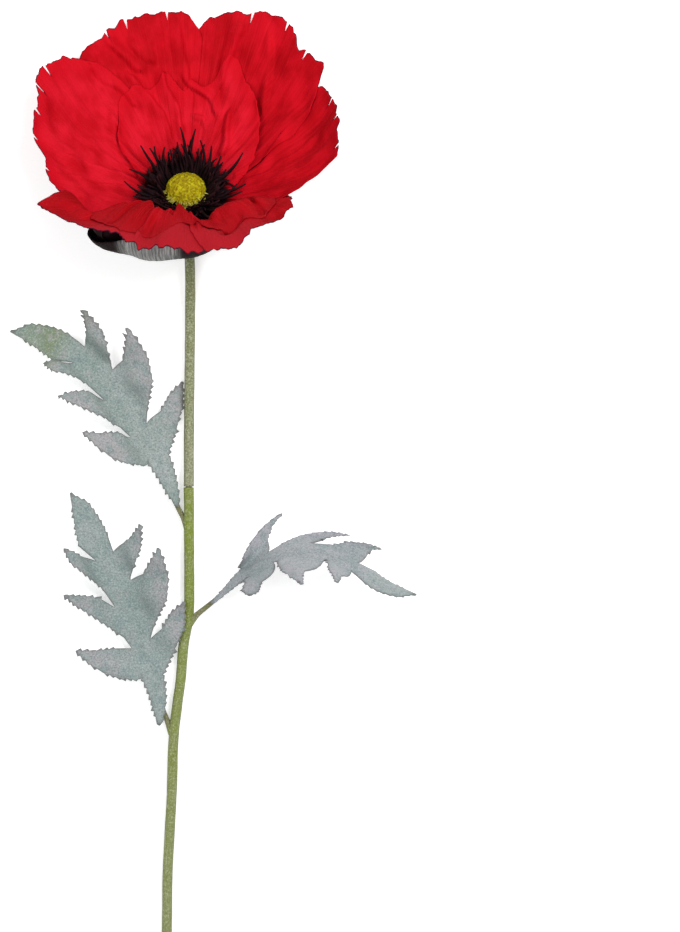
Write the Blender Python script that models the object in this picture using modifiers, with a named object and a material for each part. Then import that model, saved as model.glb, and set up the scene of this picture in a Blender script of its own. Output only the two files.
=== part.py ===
"""A cut poppy flower, lying on a surface: cupped red petals in two layers, a yellow seed head
in a ring of black stamens, a grey calyx, a two-part stem and three lobed, toothed leaves.

Frame: +Z is up, off the surface that the flower lies on, and +Y runs along the stem from its
cut end to the bloom. The origin is in the flat spot under the back petals, on the surface.
Lengths are in millimetres and angles in degrees. MM turns a length into Blender's metres.
"""

import math
import random
from collections import namedtuple

import bmesh
import bpy
from mathutils import Matrix, Vector
from mathutils.geometry import delaunay_2d_cdt, interpolate_bezier

MM = 0.001
CLEARANCE = 0.3

# The bloom's own frame: a centre on its axis, the axis's tilt, and the height along the axis
# of the seat, where the petals start. The calyx, stamens and seed head stack up from the seat.
BLOOM_CENTRE = Vector((-1.0, -58.0, 16.8))
BLOOM_TILT = 38.4
SEAT_HEIGHT = -4.5

# Petals. Azimuth 0 points along +X, 90 to the back of the bloom and 270 to its front.
PETAL_THICKNESS = 0.7
PETAL_HOLE_RADIUS = 4.5
OUTER_TWIST = (0.7, 1.5)
INNER_TWIST = (0.6, 1.7)
INNER_LIFT = 2.4
WAVE_HEIGHT = 0.8
SLIT_HALF_WIDTH = 0.8
WIDEST_COLUMN = 6.0

# The pleats that all petals share: each a height, its count round the bloom, where it starts
# and how far it drifts towards the rim.
PLEATS = ((1.2, 7, 0.6, 0), (1.0, 11, 2.1, -2), (0.7, 18, 4.0, 3))

# The bowl's profile at seven azimuths: two handles and the rim, each a radius and a height.
BOWL_KEYS = {
    0: ((26, 0), (56, 10), (70, 39)),
    90: ((28, 1), (52, 20), (76, 41)),
    180: ((30, -1), (56, 8), (70, 38)),
    215: ((74, -8), (30, 14), (68, 33)),
    240: ((72, -8), (16, 26), (62, 32)),
    270: ((64, -8), (14, 34), (56, 30)),
    315: ((40, -5), (36, 30), (60, 33)),
}

# A petal's rim is a row of azimuths, each with how far it reaches out along the bowl, where 1
# is the bowl's rim. Its slits are azimuths with their depths. Its start edge lies over the end
# edge of the petal before it. lean is how far an inner petal's rim stands off the outer layer.
Petal = namedtuple("Petal", "rim slits rows lean")
OUTER_PETALS = (
    Petal(
        ((-28, 0.55), (-18, 0.66), (-12, 0.78), (-7, 0.97), (0, 0.98), (7, 1.01), (14, 1.0),
         (22, 0.97), (28, 0.96), (36, 0.88)),
        ((-2, 0.05), (10, 0.05), (21, 0.07)), 9, 0.0,
    ),
    Petal(
        ((22, 0.70), (27, 0.86), (33, 1.02), (40, 1.03), (45, 1.0), (50, 1.05), (57, 1.08),
         (64, 1.05), (70, 1.03), (77, 1.0), (82, 0.96), (86, 0.89), (92, 0.84), (100, 0.80)),
        ((42, 0.05), (54, 0.05), (67, 0.06)), 9, 0.0,
    ),
    Petal(
        ((84, 0.87), (88, 0.95), (92, 0.99), (101, 0.99), (107, 1.0), (114, 1.0), (124, 0.97),
         (130, 0.96), (138, 0.90)),
        ((97, 0.04), (112, 0.05), (120, 0.04)), 9, 0.0,
    ),
    Petal(
        ((119, 0.62), (122, 0.74), (127, 0.86), (134, 0.95), (139, 1.01), (145, 1.03), (151, 1.06),
         (160, 1.01), (169, 0.98), (175, 0.90), (182, 0.83), (190, 0.80), (200, 0.79), (210, 0.76),
         (222, 0.72)),
        ((148, 0.07), (156, 0.09), (165, 0.05), (173, 0.04), (184, 0.04)), 9, 0.0,
    ),
    Petal(
        ((203, 0.92), (207, 1.04), (212, 1.08), (217, 1.04), (223, 1.0), (230, 0.97), (239, 0.97),
         (248, 0.99), (255, 1.0), (266, 1.02), (275, 1.01), (285, 0.96), (292, 0.90)),
        ((226, 0.03), (243, 0.03), (259, 0.04)), 12, 0.0,
    ),
    Petal(
        ((274, 0.93), (280, 1.01), (286, 1.03), (293, 1.02), (304, 0.99), (311, 1.0), (317, 1.01),
         (323, 1.0), (327, 0.92), (334, 0.78), (345, 0.62)),
        ((289, 0.03), (299, 0.03), (310, 0.03)), 12, 0.0,
    ),
)
INNER_PETALS = (
    Petal(
        ((4, 0.24), (13, 0.33), (21, 0.41), (29, 0.48), (36, 0.54), (42, 0.59), (49, 0.66),
         (55, 0.69), (62, 0.71), (68, 0.78), (73, 0.76), (78, 0.68), (86, 0.66), (96, 0.60)),
        ((65, 0.05), (76, 0.04)), 8, 4.5,
    ),
    Petal(
        ((86, 0.60), (92, 0.66), (100, 0.68), (108, 0.67), (117, 0.67), (124, 0.67), (131, 0.65),
         (137, 0.57), (145, 0.46), (152, 0.34), (158, 0.26)),
        ((96, 0.05), (112, 0.05)), 8, 4.5,
    ),
    Petal(
        ((196, 0.34), (205, 0.54), (214, 0.74), (222, 0.86), (232, 0.92), (240, 0.95), (248, 0.92),
         (255, 0.95), (262, 0.92), (270, 0.88), (280, 0.80), (288, 0.66)),
        ((228, 0.03), (246, 0.04), (262, 0.03)), 11, 2.5,
    ),
    Petal(
        ((268, 0.62), (276, 0.80), (286, 0.87), (295, 0.89), (302, 0.88), (312, 0.91), (322, 0.86),
         (332, 0.70), (342, 0.50), (350, 0.36)),
        ((290, 0.03), (307, 0.04)), 11, 2.5,
    ),
)

# How far the inner layer's front wall bulges in over the seed head: azimuths with depths. The
# greater BULGE_PLACE is, the nearer to the rim the bulge is deepest.
FRONT_BULGE = (
    (196, 0), (204, 4), (212, 9), (220, 13), (228, 14), (236, 13.5), (244, 11), (252, 8.5),
    (258, 7.5), (264, 7.5), (270, 6), (276, 5), (282, 3), (288, 2.5), (296, 6), (304, 9),
    (312, 9), (320, 7), (330, 4), (350, 0),
)
BULGE_PLACE = 1.8

# The calyx: three toothed sepals under the bowl, each an azimuth and how far it reaches.
CALYX_THICKNESS = 0.7
CALYX_DROP = (1.9, 3.3)
CALYX_FRONT_DROP = 0.7
SEPAL_HALF_WIDTH = 62
SEPALS = ((118, 0.27), (246, 0.56), (357, 0.30))
SEPAL_NOTCH = 0.10
SEPAL_TOOTH = 0.012
CALYX_COLUMNS = 48
CALYX_ROWS = 5

# The stamens: filaments on a ring under the seed head.
STAMEN_RING = ((2.4, 4.4), (11.8, 6.3))
STAMEN_RING_THICKNESS = 0.7
STAMEN_COUNT = 48
STAMEN_RADIUS = 0.45

# The seed head: a dome with a fringe of bristles.
POD_RADIUS = 9.3
POD_BASE_HEIGHT = 6.7
POD_DOME = 7.4
POD_SIDE = 1.6
POD_SOCKET_DEPTH = 3.9
BRISTLE_COUNT = 26

# The stem, from the receptacle's peg to the cut end. Its joint is a peg in a socket.
STEM_RADIUS = 2.35
NECK_LENGTH = 6.0
NECK_BEND_RADIUS = 10.0
PEG_RADIUS = 2.0
RECEPTACLE = ((-2.9, 6.0), (-4.2, 4.4), (-5.4, 3.0))
JOINT_PEG = (1.5, 12.0)
UPPER_STEM = ((1.4, -30, 5.7), (1.5, -60, 6.1), (1.1, -96, 6.1), (0.9, -131.2, 5.6))
LOWER_STEM = (
    (0.9, -131.6, 5.6), (1.0, -150, 5.3), (1.1, -170, 5.0), (1.1, -182, 4.9), (0.5, -192, 4.8),
    (-1.5, -203, 4.7), (-2.7, -218, 4.4), (-4.3, -229.5, 4.2), (-6.0, -245, 4.0), (-6.9, -271, 3.6),
    (-8.6, -303, 3.2), (-9.1, -331, 2.9), (-9.6, -375, 2.65), (-10.0, -417.5, 2.37),
)

# Leaf stalks on the lower stem: their ways, given as the stem's points are.
STALK_RADII = (1.4, 1.0)
STALKS = (
    ((1.0, -152, 5.3), (-1.0, -146.5, 4.4), (-4.6, -139.5, 1.9), (-8.6, -128, 1.2)),
    ((0.6, -194, 4.9), (4.5, -189.3, 5.4), (10, -184.8, 7.0), (16.6, -179.4, 10.2)),
    ((-6.2, -244, 4.0), (-8.6, -238, 3.0), (-11.4, -230, 1.8), (-12.5, -221, 1.2)),
)

# A leaf's outline from its base: the side to the right of its midrib up to the tip, then the
# left side back down, each as a distance across and a distance along.
LEAF_THICKNESS = 0.8
LEAF_LENGTH = 112.8
LEAF_RIGHT = (
    (0.4, 0), (2.6, 4), (3.6, 12), (4.2, 22),
    (13.5, 31), (21, 39), (25, 50), (16.7, 46.3), (11, 41.2), (4.6, 38.5),
    (12.4, 47.5), (19.4, 55), (22.6, 64), (22.8, 76), (16, 71.2), (11.2, 67.6), (5.8, 66),
    (11.8, 73.4), (17, 79.4), (21, 89.5), (12.3, 84.5), (4.6, 80.2),
    (5.4, 87), (5.5, 95.6), (4.7, 104.7), (0, 112.8),
)
LEAF_LEFT = (
    (-2.4, 106.7), (-6.4, 96.8), (-8.4, 89), (-4.4, 80.2),
    (-9.8, 85.5), (-16, 92.5), (-16.4, 85), (-12, 76.4), (-7.6, 68.6), (-5.2, 57.4),
    (-9.8, 63), (-15.8, 67), (-25.5, 72.5), (-22.5, 65), (-17, 57.8), (-10.8, 50), (-6.4, 43.4), (-5, 37.6),
    (-12, 40.4), (-20, 42.6), (-29, 46), (-25, 38), (-20.8, 32.2), (-14.6, 26.2), (-7.4, 23),
    (-5.0, 25), (-5.4, 21), (-4.2, 12.3), (-2.4, 4), (-0.4, 0),
)
TOOTH_SPACING = 4.2
TOOTH_DEPTH = 0.9
NOTCH_CLEAR = 7.5
LEAF_CELL = 7.0
LEAF_EDGE_GAP = 2.2

# No tooth stands within NOTCH_CLEAR of a notch. NECK tells where the neck ends and over what
# length it widens, and the leaf is flat at its base, up to FLAT_BASE.
# The lobes' roots and tips in the flat leaf, three on the right from the base up, then three on
# the left, and the gap above each lobe: its notch and a point between the lobes' tips.
LOBE_ROOTS = ((3, 29), (3, 46), (3, 69), (-3, 28), (-3, 42), (-3, 64))
LOBE_TIPS = ((25, 50), (22.8, 76), (21, 89.5), (-29, 46), (-25.5, 72.5), (-16, 92.5))
LOBE_GAPS = (
    ((4.6, 38.5), (23, 53)), ((5.8, 66), (20.5, 78.5)), ((4.6, 80.2), (12, 92)),
    ((-5, 37.6), (-24, 53)), ((-5.2, 57.4), (-19, 76)), ((-4.4, 80.2), (-11.5, 91.5)),
)
LOBE_HINGE = 4.2
LOBE_BLEND = 8.0
NECK = (10, 16)
FLAT_BASE = 25

# A leaf's midrib, given as the stem's points are, how steeply its two sides rise, each lobe's
# own turn within the leaf, how steeply it rises and its twist about its own length, how high the
# leaf ripples, and how wide its neck is against the shared outline.
Leaf = namedtuple("Leaf", "midrib rise lobes ripple neck")
LEAVES = {
    "leaf_upper_left": Leaf(
        ((-4.1, -140.4, 4.6), (-11.3, -119.7, 3.4), (-20.7, -107.1, 4.2), (-31.5, -91.4, 5.2),
         (-44.6, -75, 5.8), (-61, -65, 5.0), (-80.1, -61.2, 2.2)), (8, 8),
        ((-12, -6, 0), (-8, 28, 0), (-8, 40, 0), (-12, 30, 0), (-4, 30, 0), (-6, 30, 0)), 1.2, 1.0),
    "leaf_right": Leaf(
        ((11, -184.2, 10.6), (18, -178, 14), (25.5, -171, 18), (34.4, -164.9, 23.5),
         (43.2, -160.3, 27.3), (51.3, -158.6, 30.4), (60.3, -159.6, 32.6), (68, -162, 33.5),
         (76, -166.8, 33), (87.8, -175, 30), (103.7, -179.6, 25)), (54, -66),
        ((-66, 66, 0), (-44, 66, 0), (-32, 70, 0), (-5, -53, 70), (0, -66, 50), (20, -58, 50)), 0.5, 0.45),
    "leaf_lower_left": Leaf(
        ((-12.3, -239.4, 5.6), (-12.7, -225.9, 4.6), (-14.9, -216.3, 4.2), (-18.7, -206.5, 4.2),
         (-24.8, -191.7, 5.2), (-31.5, -174.5, 5.6), (-37.4, -162.5, 5.2), (-44.1, -149, 4.0),
         (-53.1, -134.1, 1.0)), (8, 4),
        ((-4, 16, 0), (-8, 26, 0), (-12, 30, 0), (0, 3, 0), (0, 20, 0), (4, 36, 0)), 1.2, 1.0),
}


def smooth(x):
    """An even step from 0 to 1."""
    x = min(1.0, max(0.0, x))
    return x * x * (3 - 2 * x)


def mix(a, b, share):
    return a + (b - a) * share


def read_row(row, x):
    """The value at x of a row of (x, value) pairs, by straight lines between them."""
    for (x0, v0), (x1, v1) in zip(row, row[1:]):
        if x <= x1:
            return mix(v0, v1, max(0.0, (x - x0) / (x1 - x0)))
    return row[-1][1]


def polar(radius, azimuth, height):
    """A point of the bloom's own frame, in the part's frame."""
    turn = math.radians(azimuth)
    tilt = math.radians(BLOOM_TILT)
    across = radius * math.cos(turn)
    along = radius * math.sin(turn)
    return BLOOM_CENTRE + Vector((
        across,
        along * math.cos(tilt) + height * math.sin(tilt),
        height * math.cos(tilt) - along * math.sin(tilt),
    ))


def above_seat(radius, azimuth, height):
    return polar(radius, azimuth, SEAT_HEIGHT + height)


def bowl_handles(azimuth):
    """The Bezier points of the bowl's profile at this azimuth."""
    azimuth %= 360
    keys = sorted(BOWL_KEYS)
    before = max(key for key in keys if key <= azimuth)
    after = min((key for key in keys if key > azimuth), default=360)
    share = smooth((azimuth - before) / (after - before))
    pairs = zip(BOWL_KEYS[before], BOWL_KEYS[after % 360])
    points = [Vector(a).lerp(Vector(b), share) for a, b in pairs]
    return [Vector((PETAL_HOLE_RADIUS, SEAT_HEIGHT)), *points]


def bowl(reach, azimuth, offset):
    """The point that lies offset inside the bowl, where reach is 0 at the base and 1 at the rim."""
    a, b, c, d = bowl_handles(azimuth)
    rest = 1 - reach
    point = rest**3 * a + 3 * rest**2 * reach * b + 3 * rest * reach**2 * c + reach**3 * d
    way = rest**2 * (b - a) + 2 * rest * reach * (c - b) + reach**2 * (d - c)
    way.normalize()
    return polar(point.x - way.y * offset, azimuth, point.y + way.x * offset)


def waves(reach, azimuth):
    """The pleats that every petal shares, so that overlapping petals nest and never cross."""
    turn = math.radians(azimuth)
    pleats = sum(
        height * math.sin(count * turn + start + drift * reach)
        for height, count, start, drift in PLEATS
    )
    return WAVE_HEIGHT * pleats * reach**1.6


def rim_columns(petal):
    """The petal's columns: azimuths along its rim, each with how far it reaches there."""
    slits = {}
    for azimuth, depth in petal.slits:
        slits[azimuth] = depth
        slits[azimuth - SLIT_HALF_WIDTH] = depth * 0.3
        slits[azimuth + SLIT_HALF_WIDTH] = depth * 0.3
    free = [azimuth for azimuth, _ in petal.rim
            if all(abs(azimuth - slit) > 2 * SLIT_HALF_WIDTH for slit, _ in petal.slits)]
    stops = sorted([*free, *slits])
    columns = []
    for low, high in zip(stops, stops[1:]):
        parts = math.ceil((high - low) / WIDEST_COLUMN)
        columns += [mix(low, high, part / parts) for part in range(parts)]
    columns.append(stops[-1])
    return [(azimuth, read_row(petal.rim, azimuth), slits.get(azimuth, 0.0)) for azimuth in columns]


def petal_point(petal, layer, azimuth, reach):
    """A point of the petal's middle surface, pressed flat where it meets the surface below."""
    start, end = petal.rim[0][0], petal.rim[-1][0]
    across = 2 * (azimuth - start) / (end - start) - 1
    twist = OUTER_TWIST if layer == "outer" else INNER_TWIST
    offset = waves(reach, azimuth) - mix(*twist, reach) * math.sin(math.radians(90 * across))
    if layer == "inner":
        offset += INNER_LIFT + petal.lean * reach**1.5
        offset += read_row(FRONT_BULGE, azimuth) * math.sin(math.pi * reach**BULGE_PLACE) ** 2
    point = bowl(reach, azimuth, offset)
    point.z = max(point.z, PETAL_THICKNESS / 2)
    return point


def grid_mesh(columns, rows, closed=False):
    """A grid of this many columns and rows of vertices, keyed by column and row."""
    mesh = bmesh.new()
    placed = {}
    for column in range(columns):
        for row in range(rows):
            placed[column, row] = mesh.verts.new((column, row, 0))
    for column in range(columns if closed else columns - 1):
        after = (column + 1) % columns
        for row in range(rows - 1):
            mesh.faces.new((
                placed[column, row], placed[after, row],
                placed[after, row + 1], placed[column, row + 1],
            ))
    return mesh, placed


def link_mesh(name, mesh, material, collection):
    data = bpy.data.meshes.new(name)
    mesh.to_mesh(data)
    mesh.free()
    if material:
        data.materials.append(material)
    made = bpy.data.objects.new(name, data)
    collection.objects.link(made)
    return made


def add_shell(name, mesh, thickness, material, collection):
    """An object whose mesh is a middle surface, thickened evenly to both sides."""
    bmesh.ops.triangulate(mesh, faces=mesh.faces, quad_method="SHORT_EDGE")
    bmesh.ops.recalc_face_normals(mesh, faces=mesh.faces)
    made = link_mesh(name, mesh, material, collection)
    shell = made.modifiers.new("shell", "SOLIDIFY")
    shell.thickness = thickness * MM
    shell.offset = 0.0
    return made


def build_petal(name, petal, layer, material, collection):
    """A petal: a grid bent to the bowl, with slits and lobes along its rim."""
    columns = rim_columns(petal)
    rows = petal.rows
    mesh, placed = grid_mesh(len(columns), rows)
    start, end = petal.rim[0][0], petal.rim[-1][0]
    for (column, row), vertex in placed.items():
        share = row / (rows - 1)
        at_rim, rim_reach, slit = columns[column]
        at_base = mix(start, end, column / (len(columns) - 1))
        azimuth = mix(at_base, at_rim, smooth(share * 2))
        reach = share * (rim_reach - slit * share**4)
        vertex.co = petal_point(petal, layer, azimuth, reach) * MM
    return add_shell(name, mesh, PETAL_THICKNESS, material, collection)


def sepal_reach(azimuth):
    """How far the calyx reaches at this azimuth."""
    reach = SEPAL_NOTCH
    for centre, tip in SEPALS:
        away = abs((azimuth - centre + 180) % 360 - 180) / SEPAL_HALF_WIDTH
        if away < 1:
            reach = max(reach, mix(SEPAL_NOTCH, tip, (1 - away**2) ** 0.6))
    return reach


def build_calyx(material, collection):
    mesh, placed = grid_mesh(CALYX_COLUMNS, CALYX_ROWS, closed=True)
    for (column, row), vertex in placed.items():
        azimuth = 360 * column / CALYX_COLUMNS
        share = row / (CALYX_ROWS - 1)
        tooth = SEPAL_TOOTH * (column % 2) * share**6
        reach = share * sepal_reach(azimuth) + tooth
        rim_drop = CALYX_DROP[1] - CALYX_FRONT_DROP * math.sin(math.radians(azimuth))
        drop = mix(CALYX_DROP[0], rim_drop, smooth(reach / 0.25))
        vertex.co = bowl(reach, azimuth, -drop) * MM
    return add_shell("calyx", mesh, CALYX_THICKNESS, material, collection)


def smooth_path(points, step):
    """Points about a step apart on a smooth curve through the given ones."""
    knots = [Vector(point) for point in points]
    path = []
    for index, (start, end) in enumerate(zip(knots, knots[1:])):
        before = knots[index - 1] if index else start
        after = knots[index + 2] if index + 2 < len(knots) else end
        leave = start + (end - before) / 6
        arrive = end - (after - start) / 6
        count = max(1, round((end - start).length / step))
        path += interpolate_bezier(start, leave, arrive, end, count + 1)[:-1]
    path.append(knots[-1])
    return path


def even_path(path, count):
    """The path as this many points at even distances."""
    lengths = [0.0]
    for start, end in zip(path, path[1:]):
        lengths.append(lengths[-1] + (end - start).length)
    even = []
    for number in range(count):
        target = lengths[-1] * number / (count - 1)
        index = max(i for i, length in enumerate(lengths[:-1]) if length <= target)
        share = (target - lengths[index]) / (lengths[index + 1] - lengths[index])
        even.append(path[index].lerp(path[index + 1], share))
    return even


def tube(name, stops, material, collection):
    """A round rod through the given points, each with its own radius, as a closed mesh."""
    curve = bpy.data.curves.new(name, "CURVE")
    curve.dimensions = "3D"
    curve.bevel_depth = MM
    curve.bevel_resolution = 2
    curve.use_fill_caps = True
    spline = curve.splines.new("POLY")
    spline.points.add(len(stops) - 1)
    for stop, (point, radius) in zip(spline.points, stops):
        stop.co = (*(point * MM), 1.0)
        stop.radius = radius
    guide = bpy.data.objects.new(name, curve)
    collection.objects.link(guide)
    bpy.context.view_layer.update()
    data = bpy.data.meshes.new_from_object(guide.evaluated_get(bpy.context.evaluated_depsgraph_get()))
    mesh = bmesh.new()
    mesh.from_mesh(data)
    bmesh.ops.remove_doubles(mesh, verts=mesh.verts, dist=1e-6)
    bmesh.ops.transform(mesh, matrix=guide.matrix_world, verts=mesh.verts)
    bmesh.ops.recalc_face_normals(mesh, faces=mesh.faces)
    bpy.data.objects.remove(guide)
    return link_mesh(name, mesh, material, collection)


def combine(base, operation, tools):
    """Joins the tool objects to the base, or cuts them out of it, and removes them."""
    group = bpy.data.collections.new("tools")
    for tool in tools:
        group.objects.link(tool)
    joined = base.modifiers.new("combine", "BOOLEAN")
    joined.operation = operation
    joined.operand_type = "COLLECTION"
    joined.collection = group
    joined.solver = "EXACT"
    bpy.context.view_layer.update()
    evaluated = base.evaluated_get(bpy.context.evaluated_depsgraph_get())
    data = bpy.data.meshes.new_from_object(evaluated)
    base.modifiers.clear()
    base.data = data
    for tool in tools:
        bpy.data.objects.remove(tool)
    bpy.data.collections.remove(group)


def in_part(point):
    """A point given from below the bloom's centre, with its true height, in the part's frame."""
    return Vector((point[0] + BLOOM_CENTRE.x, point[1] + BLOOM_CENTRE.y, point[2]))


def neck_path():
    """The stem's way down the bloom's axis and round its bend, until it lies level."""
    axis = polar(0, 0, 1) - polar(0, 0, 0)
    start = above_seat(0, 0, -NECK_LENGTH)
    sweep = math.radians(90 - BLOOM_TILT)
    path = [start]
    for step in range(1, 6):
        turn = sweep * step / 5
        forward = NECK_BEND_RADIUS * math.sin(turn)
        sideways = NECK_BEND_RADIUS * (1 - math.cos(turn))
        path.append(start - axis * forward - Vector((0, axis.z, -axis.y)) * sideways)
    return path


def plain_material(name, colour, roughness):
    material = bpy.data.materials.new(name)
    material.use_nodes = True
    shader = material.node_tree.nodes["Principled BSDF"]
    shader.inputs["Base Color"].default_value = (*colour, 1.0)
    shader.inputs["Roughness"].default_value = roughness
    material.diffuse_color = (*colour, 1.0)
    return material


def joint_way():
    return (in_part(LOWER_STEM[1]) - in_part(LOWER_STEM[0])).normalized()


def build_stem_upper(material, collection):
    peg_top = POD_BASE_HEIGHT + POD_SOCKET_DEPTH - CLEARANCE
    peg_root = RECEPTACLE[0][0] + 0.05
    stops = [(above_seat(0, 0, height), PEG_RADIUS) for height in (peg_top, peg_root)]
    stops += [(above_seat(0, 0, height), radius) for height, radius in RECEPTACLE]
    stops += [(point, STEM_RADIUS) for point in neck_path()]
    level = [stops[-1][0]] + [in_part(point) for point in UPPER_STEM]
    stops += [(point, STEM_RADIUS) for point in smooth_path(level, 12)[1:]]
    end, radius = stops[-1]
    way = joint_way()
    stops.append((end + way * 0.05, JOINT_PEG[0]))
    stops.append((end + way * JOINT_PEG[1], JOINT_PEG[0]))
    return tube("stem_upper", stops, material, collection)


def build_stem_lower(material, collection):
    path = smooth_path([in_part(point) for point in LOWER_STEM], 8)
    stem = tube("stem_lower", [(point, STEM_RADIUS) for point in path], material, collection)
    way = joint_way()
    top = path[0]
    radius = JOINT_PEG[0] + CLEARANCE
    ends = (top - way * STEM_RADIUS, top + way * (JOINT_PEG[1] + CLEARANCE))
    socket = tube("socket", [(end, radius) for end in ends], None, collection)
    combine(stem, "DIFFERENCE", [socket])
    stalks = []
    for number, points in enumerate(STALKS):
        way = smooth_path([in_part(point) for point in points], 5)
        stops = [(point, mix(*STALK_RADII, index / (len(way) - 1))) for index, point in enumerate(way)]
        stalks.append(tube(f"stalk_{number}", stops, None, collection))
    combine(stem, "UNION", stalks)
    return stem


def toothed(outline):
    """The outline with small saw teeth, which point along it, on its longer stretches."""
    corners = [Vector(point) for point in outline]
    edge = []
    for start, end in zip(corners, corners[1:]):
        edge.append(start)
        count = int((end - start).length / TOOTH_SPACING)
        outward = Vector((end.y - start.y, start.x - end.x)).normalized()
        towards_tip = end.y > start.y if start.x + end.x > 0 else start.y > end.y
        peak = 0.75 if towards_tip else 0.25
        for tooth in range(count):
            root = start.lerp(end, (tooth + peak) / count)
            if all((root - Vector(notch)).length > NOTCH_CLEAR for notch, _ in LOBE_GAPS):
                edge.append(root + outward * TOOTH_DEPTH)
            if tooth < count - 1:
                edge.append(start.lerp(end, (tooth + 1) / count))
    edge.append(corners[-1])
    return edge


def distance_to_edge(point, edge):
    nearest = math.inf
    for start, end in zip(edge, [*edge[1:], edge[0]]):
        side = end - start
        share = max(0.0, min(1.0, (point - start).dot(side) / side.length_squared))
        nearest = min(nearest, (point - start - side * share).length)
    return nearest


def is_inside(point, edge):
    inside = False
    for start, end in zip(edge, [*edge[1:], edge[0]]):
        if (start.y > point.y) != (end.y > point.y):
            crossing = start.x + (point.y - start.y) / (end.y - start.y) * (end.x - start.x)
            inside ^= point.x < crossing
    return inside


def leaf_net():
    """The flat leaf cut into even triangles, with corners along its midrib."""
    edge = toothed(LEAF_RIGHT) + toothed(LEAF_LEFT)
    inner = [Vector((0, along)) for along in range(4, round(LEAF_LENGTH) - 5, 7)]
    midrib_count = len(inner)
    for row in range(1, round(LEAF_LENGTH / LEAF_CELL)):
        for column in range(-4, 5):
            point = Vector(((column + 0.5 * (row % 2)) * LEAF_CELL, row * LEAF_CELL))
            clear = abs(point.x) > LEAF_CELL / 2 and is_inside(point, edge)
            if clear and distance_to_edge(point, edge) > LEAF_EDGE_GAP:
                inner.append(point)
    first = len(edge)
    midrib = [(first + index, first + index + 1) for index in range(midrib_count - 1)]
    net = delaunay_2d_cdt(edge + inner, midrib, [range(len(edge))], 1, 1e-4)
    return net[0], net[2]


def lobe_at(across, along):
    """The number of the lobe that holds this point of the flat leaf, or None above them all."""
    numbers = range(3) if across > 0 else range(3, 6)
    for number in numbers:
        notch, far = LOBE_GAPS[number]
        share = (across - notch[0]) / (far[0] - notch[0])
        if along < mix(notch[1], far[1], share):
            return number
    return None


def leaf_point(leaf, path, across, along):
    """The place of a point of the flat leaf once the leaf and its lobes are bent."""
    lobe = lobe_at(across, along)
    side_rise = leaf.rise[0 if across > 0 else 1]
    turn, lobe_rise, twist = (0, side_rise, 0) if lobe is None else leaf.lobes[lobe]
    share = smooth((abs(across) - LOBE_HINGE) / LOBE_BLEND)
    stand = 0.0
    if lobe is not None and across:
        root = Vector(LOBE_ROOTS[lobe])
        turned_by = Matrix.Rotation(math.radians(turn * share), 2)
        lobe_way = (turned_by @ (Vector(LOBE_TIPS[lobe]) - root)).normalized()
        beside = Vector((-lobe_way.y, lobe_way.x))
        spot = turned_by @ (Vector((across, along)) - root)
        off_axis = spot.dot(beside)
        twisted = math.radians(twist * share)
        across, along = root + spot - beside * off_axis * (1 - math.cos(twisted))
        stand = off_axis * math.sin(twisted)
    across *= mix(leaf.neck, 1, smooth((along - NECK[0]) / NECK[1]))
    rise = math.radians(mix(side_rise * smooth(along / FLAT_BASE), lobe_rise, share))
    place = min(max(along / LEAF_LENGTH, 0), 1) * (len(path) - 1)
    index = min(int(place), len(path) - 2)
    centre = path[index].lerp(path[index + 1], place - index)
    before, after = path[max(index - 2, 0)], path[min(index + 3, len(path) - 1)]
    way = (after - before).normalized()
    level = Vector((way.y, -way.x, 0)).normalized()
    side = level * math.cos(rise) * math.copysign(1, across) + Vector((0, 0, math.sin(rise)))
    ripple = leaf.ripple * math.sin(0.33 * along + 0.16 * across) * min(1, abs(across) / 12)
    point = centre + side * abs(across) + level.cross(way) * (ripple + stand)
    point.z = max(point.z, LEAF_THICKNESS / 2)
    return point


def build_leaf(name, leaf, net, material, collection):
    corners, faces = net
    path = even_path(smooth_path([in_part(point) for point in leaf.midrib], 3), 40)
    mesh = bmesh.new()
    verts = [mesh.verts.new(leaf_point(leaf, path, *corner) * MM) for corner in corners]
    for face in faces:
        mesh.faces.new([verts[index] for index in face])
    return add_shell(name, mesh, LEAF_THICKNESS, material, collection)


def turned(name, profile, sides, material, collection):
    """A profile of radii and heights, turned about the bloom's axis, as a closed mesh."""
    mesh = bmesh.new()
    points = [mesh.verts.new((radius, 0, height)) for radius, height in profile]
    edges = [mesh.edges.new(pair) for pair in zip(points, points[1:])]
    bmesh.ops.spin(
        mesh, geom=points + edges, cent=(0, 0, 0), axis=(0, 0, 1), dvec=(0, 0, 0),
        angle=math.tau, steps=sides, use_merge=True,
    )
    bmesh.ops.remove_doubles(mesh, verts=mesh.verts, dist=1e-4)
    for vertex in mesh.verts:
        radius = math.hypot(vertex.co.x, vertex.co.y)
        azimuth = math.degrees(math.atan2(vertex.co.y, vertex.co.x))
        vertex.co = above_seat(radius, azimuth, vertex.co.z) * MM
    bmesh.ops.recalc_face_normals(mesh, faces=mesh.faces)
    return link_mesh(name, mesh, material, collection)


def build_spike(name, points, radii, collection):
    """A three-sided spike through the given points, with its own radius at each."""
    mesh = bmesh.new()
    rings = []
    for index, (point, radius) in enumerate(zip(points, radii)):
        way = (points[min(index + 1, len(points) - 1)] - points[max(index - 1, 0)]).normalized()
        side = way.cross(Vector((0.3, 0.1, 0.9))).normalized()
        ring = []
        for corner in range(3):
            turn = Matrix.Rotation(math.tau * corner / 3, 3, way)
            ring.append(mesh.verts.new((point + turn @ side * radius) * MM))
        rings.append(ring)
    for low, high in zip(rings, rings[1:]):
        for corner in range(3):
            after = (corner + 1) % 3
            mesh.faces.new((low[corner], low[after], high[after], high[corner]))
    mesh.faces.new(rings[0])
    mesh.faces.new(rings[-1])
    bmesh.ops.recalc_face_normals(mesh, faces=mesh.faces)
    return link_mesh(name, mesh, None, collection)


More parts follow.
